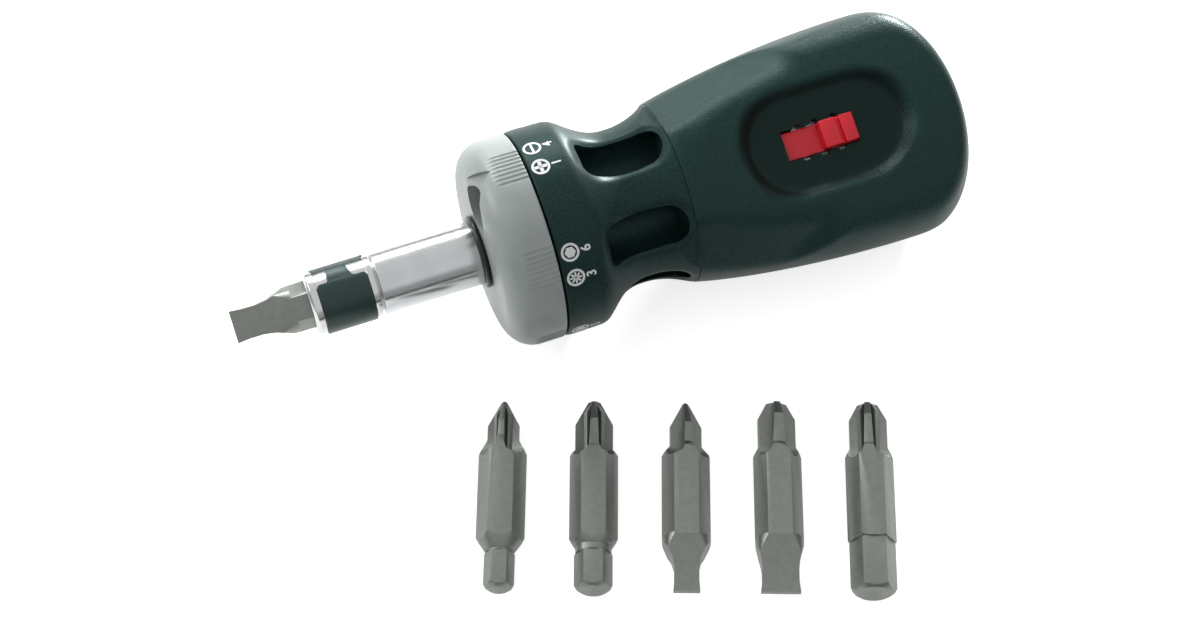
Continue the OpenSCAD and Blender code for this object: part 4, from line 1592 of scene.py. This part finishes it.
@dataclass
class Bit:
    """A double-ended bit, modelled along +X from its near end at the origin."""

    node: str
    near: NearEnd
    size: float
    cross_d: float
    point_r: float
    ribbed: bool
    wing: float = 0.9
    wing_slope: float = 4.0
    cross_shoulder: float = 1.5
    key_len: float = 5.9
    key_shoulder: float = 2.3
    turn: float = 0.0
    length: float = 31.4
    near_len: float = 8.4
    body_len: float = 13.8
    flats: float = 6.35
    blade_t: float = 0.9
    blade_root: float = 0.3
    waist_share: float = 0.92
    waist_gap: float = 0.03
    key_chamfer: float = 0.9
    key_root: float = 0.3
    neck_gap: float = 0.12
    neck_sink: float = 0.05
    joint: float = 0.1
    skin: float = 0.02
    cone_angle: float = 26.0
    tip_edge: float = 0.25
    tip_rise: float = 0.12
    tip_share: float = 0.6
    tip_land: float = 0.5
    runout: float = 2.2
    runout_step: float = 0.55
    runout_lift: float = 1.2
    rib: float = 0.7
    rib_reach: float = 0.66
    rib_point_share: float = 0.8
    rib_tip: float = 0.2
    rib_cone: float = 0.4
    edge: float = 0.06
    weld: float = 0.004
    sides: int = 96
    smooth: float = 18.0

    @property
    def corner_r(self) -> float:
        """Gives the hexagon's radius over its corners."""
        return self.flats / math.sqrt(3)

    @property
    def body_end(self) -> float:
        """Gives the station where the hexagon's full section ends."""
        return self.near_len + self.body_len

    def body(self) -> bpy.types.Object:
        """Models the hexagonal middle with its turned shoulders.

        Returns:
            The middle.
        """
        start, end = self.near_len, self.body_end
        full, cross_r = self.corner_r + self.skin, self.cross_d / 2
        if self.near is NearEnd.KEY:
            neck = min(self.size / math.sqrt(3) - self.neck_gap, self.corner_r - self.joint)
            near = [(start - self.key_shoulder, 0.0), (start - self.key_shoulder, neck), (start, full)]
        else:
            near = [(start - self.blade_root, 0.0), (start - self.blade_root, full)]
        far_x, near_x = end + self.cross_shoulder, near[0][0]
        outline = [*near, (end, full), (far_x, cross_r), (far_x, 0.0)]
        envelope = Bench.turned("envelope", outline, self.sides)
        body = Bench.bar("body", near_x - OVERRUN, far_x + 2 * OVERRUN - near_x, self.corner_r, 6)
        Bench.combine(body, envelope, "INTERSECT")
        return body

    def cross(self) -> bpy.types.Object:
        """Models the round end that the cross point is cut from.

        Returns:
            The round end.
        """
        start, reach, r = self.body_end, self.length, self.cross_d / 2
        cone = (r - self.point_r) / math.tan(math.radians(self.cone_angle))
        return Bench.turned("cross", [
            (start, 0.0), (start, r), (reach - cone, r),
            (reach - self.tip_edge, self.point_r + self.tip_rise),
            (reach, self.point_r * self.tip_share), (reach, 0.0)], self.sides)

    def flute(self, turn: float) -> bpy.types.Object:
        """Models one flute's cutter, whose walls follow the wings on both sides.

        Args:
            turn: The angle of the flute round the bit.

        Returns:
            The cutter.
        """
        apex = self.wing / math.sqrt(2)
        base = self.body_end + self.runout * FLUTE_SHARES[0]
        rise = (self.length - base) * math.tan(math.radians(self.wing_slope)) / math.sqrt(2)
        stations = [(self.length + OVERRUN, apex), (self.length - self.tip_land, apex),
                    (base, apex + rise),
                    (base - self.runout * FLUTE_SHARES[1], apex + rise + self.runout_step),
                    (base - self.runout, self.corner_r + self.runout_lift)]
        Bench.clear()
        bpy.ops.mesh.primitive_circle_add(vertices=3, radius=1.0, fill_type="NGON")
        cutter = Bench.named("flute")
        bpy.ops.object.mode_set(mode="EDIT")
        bpy.ops.mesh.select_mode(type="FACE")
        bpy.ops.mesh.select_all(action="SELECT")
        for _ in stations[1:]:
            bpy.ops.mesh.extrude_region_move(TRANSFORM_OT_translate={"value": (0, 0, 1)})
        bpy.ops.object.mode_set(mode="OBJECT")
        spots = Bench.points(cutter)
        wide = self.flats
        placed = np.empty_like(spots)
        for k, (x, lift) in enumerate(stations):
            layer = np.where(np.round(spots[:, 2]) == k)[0]
            order = layer[np.argsort(np.arctan2(spots[layer, 1], spots[layer, 0]))]
            placed[order[0]] = (x, 0.0, lift)
            placed[order[1]] = (x, wide, lift + wide)
            placed[order[2]] = (x, -wide, lift + wide)
        Bench.place_points(cutter, placed)
        Bench.mend(cutter)
        Bench.roll(cutter, turn)
        return cutter

    def ribs(self) -> bpy.types.Object:
        """Models the small ribs that stand between the wings.

        Returns:
            The ribs, joined at the axis.
        """
        start, reach, r = self.body_end, self.length, self.cross_d / 2 * self.rib_reach
        point_r, tip_x = self.point_r * self.rib_point_share, reach - self.rib_tip
        cone = max((r - point_r) / math.tan(math.radians(self.cone_angle)), self.rib_cone)
        core = Bench.turned("core", [
            (start, 0.0), (start, r), (reach - cone, r), (tip_x, point_r), (tip_x, 0.0)], self.sides)
        bars = []
        half_w, half_h = self.rib / 2, r + OVERRUN
        for turn in FLUTE_TURNS[:2]:
            bar = Bench.block("rib", (start - OVERRUN, -half_w, -half_h), (reach + OVERRUN, half_w, half_h))
            Bench.roll(bar, turn + self.turn)
            bars.append(bar)
        Bench.combine(bars[0], bars[1], "UNION")
        Bench.combine(core, bars[0], "INTERSECT")
        return core

    def blade(self) -> bpy.types.Object:
        """Models the flat blade, which grows out of the hexagon's flats.

        Returns:
            The blade.
        """
        reach, wide = self.near_len, 2 * self.corner_r
        waist, flat_h = self.size * self.waist_share / 2, self.flats / 2 - self.skin
        side = [*((reach * along, self.blade_t * thick) for along, thick in BLADE_SIDE_SHARES),
                (reach - self.blade_root, flat_h), (reach, flat_h)]
        plan = [(0.0, self.size / 2), (reach * BLADE_SIDE_SHARES[1][0], waist + self.waist_gap),
                *((reach * along, waist + (self.corner_r - waist) * out)
                  for along, out in BLADE_PLAN_SHARES),
                (reach, self.corner_r)]
        blade = Bench.prism("blade", [(x, -wide / 2, h) for x, h in side]
                            + [(x, -wide / 2, -h) for x, h in reversed(side)], (0, wide, 0))
        spade = Bench.prism("spade", [(x, h, -wide / 2) for x, h in plan]
                            + [(x, -h, -wide / 2) for x, h in reversed(plan)], (0, 0, wide))
        Bench.combine(blade, spade, "INTERSECT")
        limit = Bench.bar("round", 0, reach, self.corner_r - self.waist_gap, self.sides)
        Bench.combine(blade, limit, "INTERSECT")
        return blade

    def key(self) -> bpy.types.Object:
        """Models the small hexagon, chamfered at both ends, and the neck behind it.

        Returns:
            The small hexagon.
        """
        r = self.size / math.sqrt(3)
        key = Bench.bar("key", 0, self.key_len, r, 6)
        end, (along, drop) = self.key_len + self.joint, KEY_CHAMFER_SHARES
        envelope = Bench.turned("envelope", [
            (0.0, 0.0), (0.0, r - self.key_chamfer),
            (self.key_chamfer * along, r - self.key_chamfer * drop),
            (self.key_chamfer, r + self.skin), (self.key_len - self.key_root, r + self.skin),
            (end, r - self.neck_gap - self.joint), (end, 0.0)], self.sides)
        Bench.combine(key, envelope, "INTERSECT")
        neck = min(r - self.neck_gap - self.edge, self.corner_r - 2 * self.joint)
        start = self.key_len - self.neck_sink
        length = self.near_len + self.joint - start
        Bench.combine(key, Bench.bar("neck", start, length, neck, self.sides), "UNION")
        return key

    def build(self, place: Matrix, body: str) -> bpy.types.Object:
        """Models the bit, lays it in its place and stands it in for its CAD node.

        Args:
            place: Where the bit lies, in the row frame in millimetres.
            body: The CAD body that it rides on.

        Returns:
            The finished bit.
        """
        bit = self.body()
        near = self.key() if self.near is NearEnd.KEY else self.blade()
        Bench.combine(bit, near, "UNION")
        Bench.combine(bit, self.cross(), "UNION")
        for turn in FLUTE_TURNS:
            Bench.combine(bit, self.flute(self.turn + turn))
        if self.ribbed:
            Bench.combine(bit, self.ribs(), "UNION")
        Bench.modify(bit, "WELD", merge_threshold=self.weld)
        Bench.bevel(bit, self.edge, angle=28)
        Bench.turn(bit, place)
        bit.name = self.node + "_forged"
        bit.data.name = bit.name
        return Bench.finish(bit, body, "bit_steel", BIT_STEEL, (self.node,), self.smooth)


@dataclass
class BitSet:
    """The bit in the holder and the row of loose bits."""

    row_x: float = 44.7
    row_offset: float = 43.8
    row_pitch: float = 13.9
    row_angle: float = 20.7
    row_yaws: tuple[float, ...] = (0.0, -0.3, 0.0, 0.0, 0.6)
    drive_tip_x: float = field(default_factory=lambda: float(node_box("drive_bit")[0][0]))

    def loose(self) -> list[Bit]:
        """Lists the loose bits, from the tip's side.

        Returns:
            The bits, not yet modelled.
        """
        key, blade = NearEnd.KEY, NearEnd.BLADE
        return [
            Bit("bit_hex4", key, size=4.0, cross_d=4.9, point_r=0.35, ribbed=True, wing=0.6,
                cross_shoulder=2.4, turn=-7.0),
            Bit("bit_hex5", key, size=5.0, cross_d=5.8, point_r=0.9, ribbed=True,
                cross_shoulder=0.7, key_shoulder=1.5),
            Bit("bit_slot4", blade, size=4.0, cross_d=4.9, point_r=0.35, ribbed=False, wing=0.7,
                cross_shoulder=1.6, turn=9.0),
            Bit("bit_slot6", blade, size=5.95, cross_d=5.8, point_r=1.5, ribbed=False, wing=1.0,
                wing_slope=7.0, turn=5.0),
            Bit("bit_hex6", key, size=6.0, cross_d=5.8, point_r=1.5, ribbed=True, key_len=8.2,
                key_shoulder=0.2, turn=-5.0)]

    def build(self) -> list[bpy.types.Object]:
        """Models all six bits.

        Returns:
            The finished bits.
        """
        angle = math.radians(self.row_angle)
        rest_z = float(node_box("bit_hex4")[0][2])
        pieces = []
        bits = self.loose()
        for k, (bit, yaw) in enumerate(zip(bits, self.row_yaws)):
            step = (k - (len(bits) - 1) / 2) * self.row_pitch
            spot = Vector((self.row_x + step * math.cos(angle),
                           -self.row_offset - step * math.sin(angle), rest_z + bit.flats / 2))
            turn = Matrix.Rotation(math.radians(90 - self.row_angle - yaw), 4, "Z")
            middle = Matrix.Translation((-bit.length / 2, 0, 0))
            pieces.append(bit.build(Matrix.Translation(spot) @ turn @ middle, bit.node))
        drive = Bit("drive_bit", NearEnd.BLADE, size=5.0, cross_d=5.8, point_r=0.9, ribbed=False,
                    near_len=9.4)
        turn = Matrix.Rotation(math.radians(LAYOUT.bit_turn), 4, "X")
        pieces.append(drive.build(turn @ Matrix.Translation((self.drive_tip_x, 0, 0)), "drive_bit"))
        return pieces


@dataclass(frozen=True)
class InnerWorks:
    """The CAD nodes inside the handle, which keep their shape and get their finish."""

    finishes: tuple[tuple[Finish, tuple[str, ...]], ...] = (
        (BRONZE, ("front_bush", "middle_bush", "rear_bush")),
        (MACHINED_STEEL, ("pawl_carrier", "pawl_pins", "spindle", "ratchet_gear", "forward_pawl",
                          "reverse_pawl")),
        (SPRING_STEEL, ("pawl_springs", "detent_spring", "detent_ball", "spindle_circlip",
                        "shift_plate")),
        (NICKEL, ("socket_magnet",)))

    def dress(self, nodes: dict[str, bpy.types.Object]) -> None:
        """Gives each kept node its material.

        Args:
            nodes: The CAD nodes by name.
        """
        for finish, names in self.finishes:
            for name in names:
                node = nodes[name]
                if not node.material_slots:
                    node.data.materials.append(None)
                for slot in node.material_slots:
                    slot.material = finish.material()
                log.info("%s: dressed as %s", name, finish.name)


@dataclass(frozen=True)
class Panel:
    """A soft lamp, in metres and watts."""

    name: str
    spot: Spot
    target: Spot
    size: Pair
    power: float


@dataclass
class Studio:
    """The pale floor, the soft lights and the camera, in metres."""

    floor_z: float = -0.0163
    floor_size: float = 6.0
    floor_colour: Colour = (0.9, 0.9, 0.9)
    sheet_rough: float = 0.9
    floor_glow: float = 0.72
    floor_mirror_share: float = 0.5
    flag_name: str = "front flag"
    flag_spot: Point = (0.05, -0.485)
    flag_size: Pair = (1.2, 0.80)
    flag_gap: float = 0.0002
    flag_colour: Colour = (0.012, 0.016, 0.016)
    room_light: float = 0.62
    room_low: Colour = (0.10, 0.12, 0.12)
    room_ramp: Pair = (0.28, 0.46)
    room_mirror_share: float = 0.3
    panels: tuple[Panel, ...] = (
        Panel("back panel", (0.0, 0.60, 0.36), (0.04, 0.0, 0.0), (0.50, 0.20), 3.0),
        Panel("back key", (0.52, 0.58, 0.065), (0.08, 0.0, 0.0), (0.07, 0.05), 8.0),
        Panel("left panel", (-0.48, 0.30, 0.28), (0.03, 0.0, 0.0), (0.22, 0.18), 1.0))
    lens: float = 72.0
    sensor: float = 36.0
    clip: Pair = (0.01, 50.0)
    spot: Spot = (-0.0215, -0.187, 0.3137)
    elevation: float = 60.0
    heading: float = 20.1

    def build(self) -> None:
        """Sets up the floor, world, lights and camera."""
        self.floor()
        self.world()
        for panel in self.panels:
            self.light(panel)
        self.flag()
        self.camera()
        log.info("studio: floor, world, lights and camera")

    def sheet(self, name: str, spot: Spot, size: Pair,
              colour: Colour) -> tuple[bpy.types.Object, Paint]:
        """Lays a matt sheet that is part of the stage.

        Args:
            name: The sheet's name.
            spot: The place of its middle.
            size: Its two sides.
            colour: Its colour.

        Returns:
            The sheet, and its material to be added to.
        """
        Bench.clear()
        bpy.ops.mesh.primitive_plane_add(size=1.0, location=spot)
        bpy.context.object.scale = (*size, 1.0)
        sheet = Bench.named(name.replace(" ", "_"))
        paint = Paint(name)
        paint.set(Base_Color=(*colour, 1.0), Roughness=self.sheet_rough, Specular_IOR_Level=0.0)
        sheet.data.materials.append(paint.material)
        return sheet, paint

    def floor(self) -> None:
        """Lays a pale floor that stays white around the tool and keeps its shadow."""
        sides = (self.floor_size, self.floor_size)
        sheet, paint = self.sheet("studio floor", (0.0, 0.0, self.floor_z), sides, self.floor_colour)
        paint.set(Emission_Color=(1.0, 1.0, 1.0, 1.0))
        paint.set(Emission_Strength=paint.seen(self.floor_mirror_share) * self.floor_glow)

    def flag(self) -> None:
        """Lays a dark sheet in front of the bits that only reflections show."""
        spot = (*self.flag_spot, self.floor_z + self.flag_gap)
        sheet, _ = self.sheet(self.flag_name, spot, self.flag_size, self.flag_colour)
        sheet.visible_camera = sheet.visible_diffuse = sheet.visible_shadow = False

    def world(self) -> None:
        """Fills the room with soft light, darker below, and shows white behind the floor."""
        world = bpy.data.worlds.new("studio")
        bpy.context.scene.world = world
        world.use_nodes = True
        sky = NodeTree(world.node_tree)
        place = sky.node("ShaderNodeTexCoord", {}, output="Generated")
        low, high = self.room_ramp
        level = (sky.node("ShaderNodeSeparateXYZ", {}, place, output="Z") - low) / (high - low)
        colour = sky.blend(level, (*self.room_low, 1.0), (1.0, 1.0, 1.0, 1.0))
        room = sky.node("ShaderNodeBackground", {}, colour, self.room_light)
        white = sky.node("ShaderNodeBackground", {}, (1.0, 1.0, 1.0, 1.0), 1.0)
        mixed = sky.node("ShaderNodeMixShader", {}, sky.seen(self.room_mirror_share), room, white)
        sky.node("ShaderNodeOutputWorld", {}, mixed, output=None)

    def light(self, panel: Panel) -> None:
        """Hangs one soft panel.

        Args:
            panel: The panel.
        """
        data = bpy.data.lights.new(panel.name, "AREA")
        data.shape = "RECTANGLE"
        data.size, data.size_y = panel.size
        data.energy = panel.power
        lamp = bpy.data.objects.new(panel.name, data)
        bpy.context.scene.collection.objects.link(lamp)
        lamp.location = panel.spot
        aim = Vector(panel.target) - Vector(panel.spot)
        lamp.rotation_euler = aim.to_track_quat("-Z", "Y").to_euler()

    def camera(self) -> None:
        """Stands the camera at the photograph's viewing angle."""
        data = bpy.data.cameras.new("photo camera")
        data.lens = self.lens
        data.sensor_width = self.sensor
        data.clip_start, data.clip_end = self.clip
        camera = bpy.data.objects.new("photo camera", data)
        bpy.context.scene.collection.objects.link(camera)
        camera.location = self.spot
        camera.rotation_euler = (math.radians(90 - self.elevation), 0, math.radians(-self.heading))
        bpy.context.scene.camera = camera


def main() -> None:
    """Builds the tool's pieces in order and sets up the studio."""
    bpy.context.scene.view_settings.view_transform = "Standard"
    for piece in (Grip(), Slider(), Magazine(), SelectorCap(), Marks(), Holder(), BitSet()):
        piece.build()
    InnerWorks().dress(frame["nodes"])
    Studio().build()


if __name__ == "__main__":
    main()
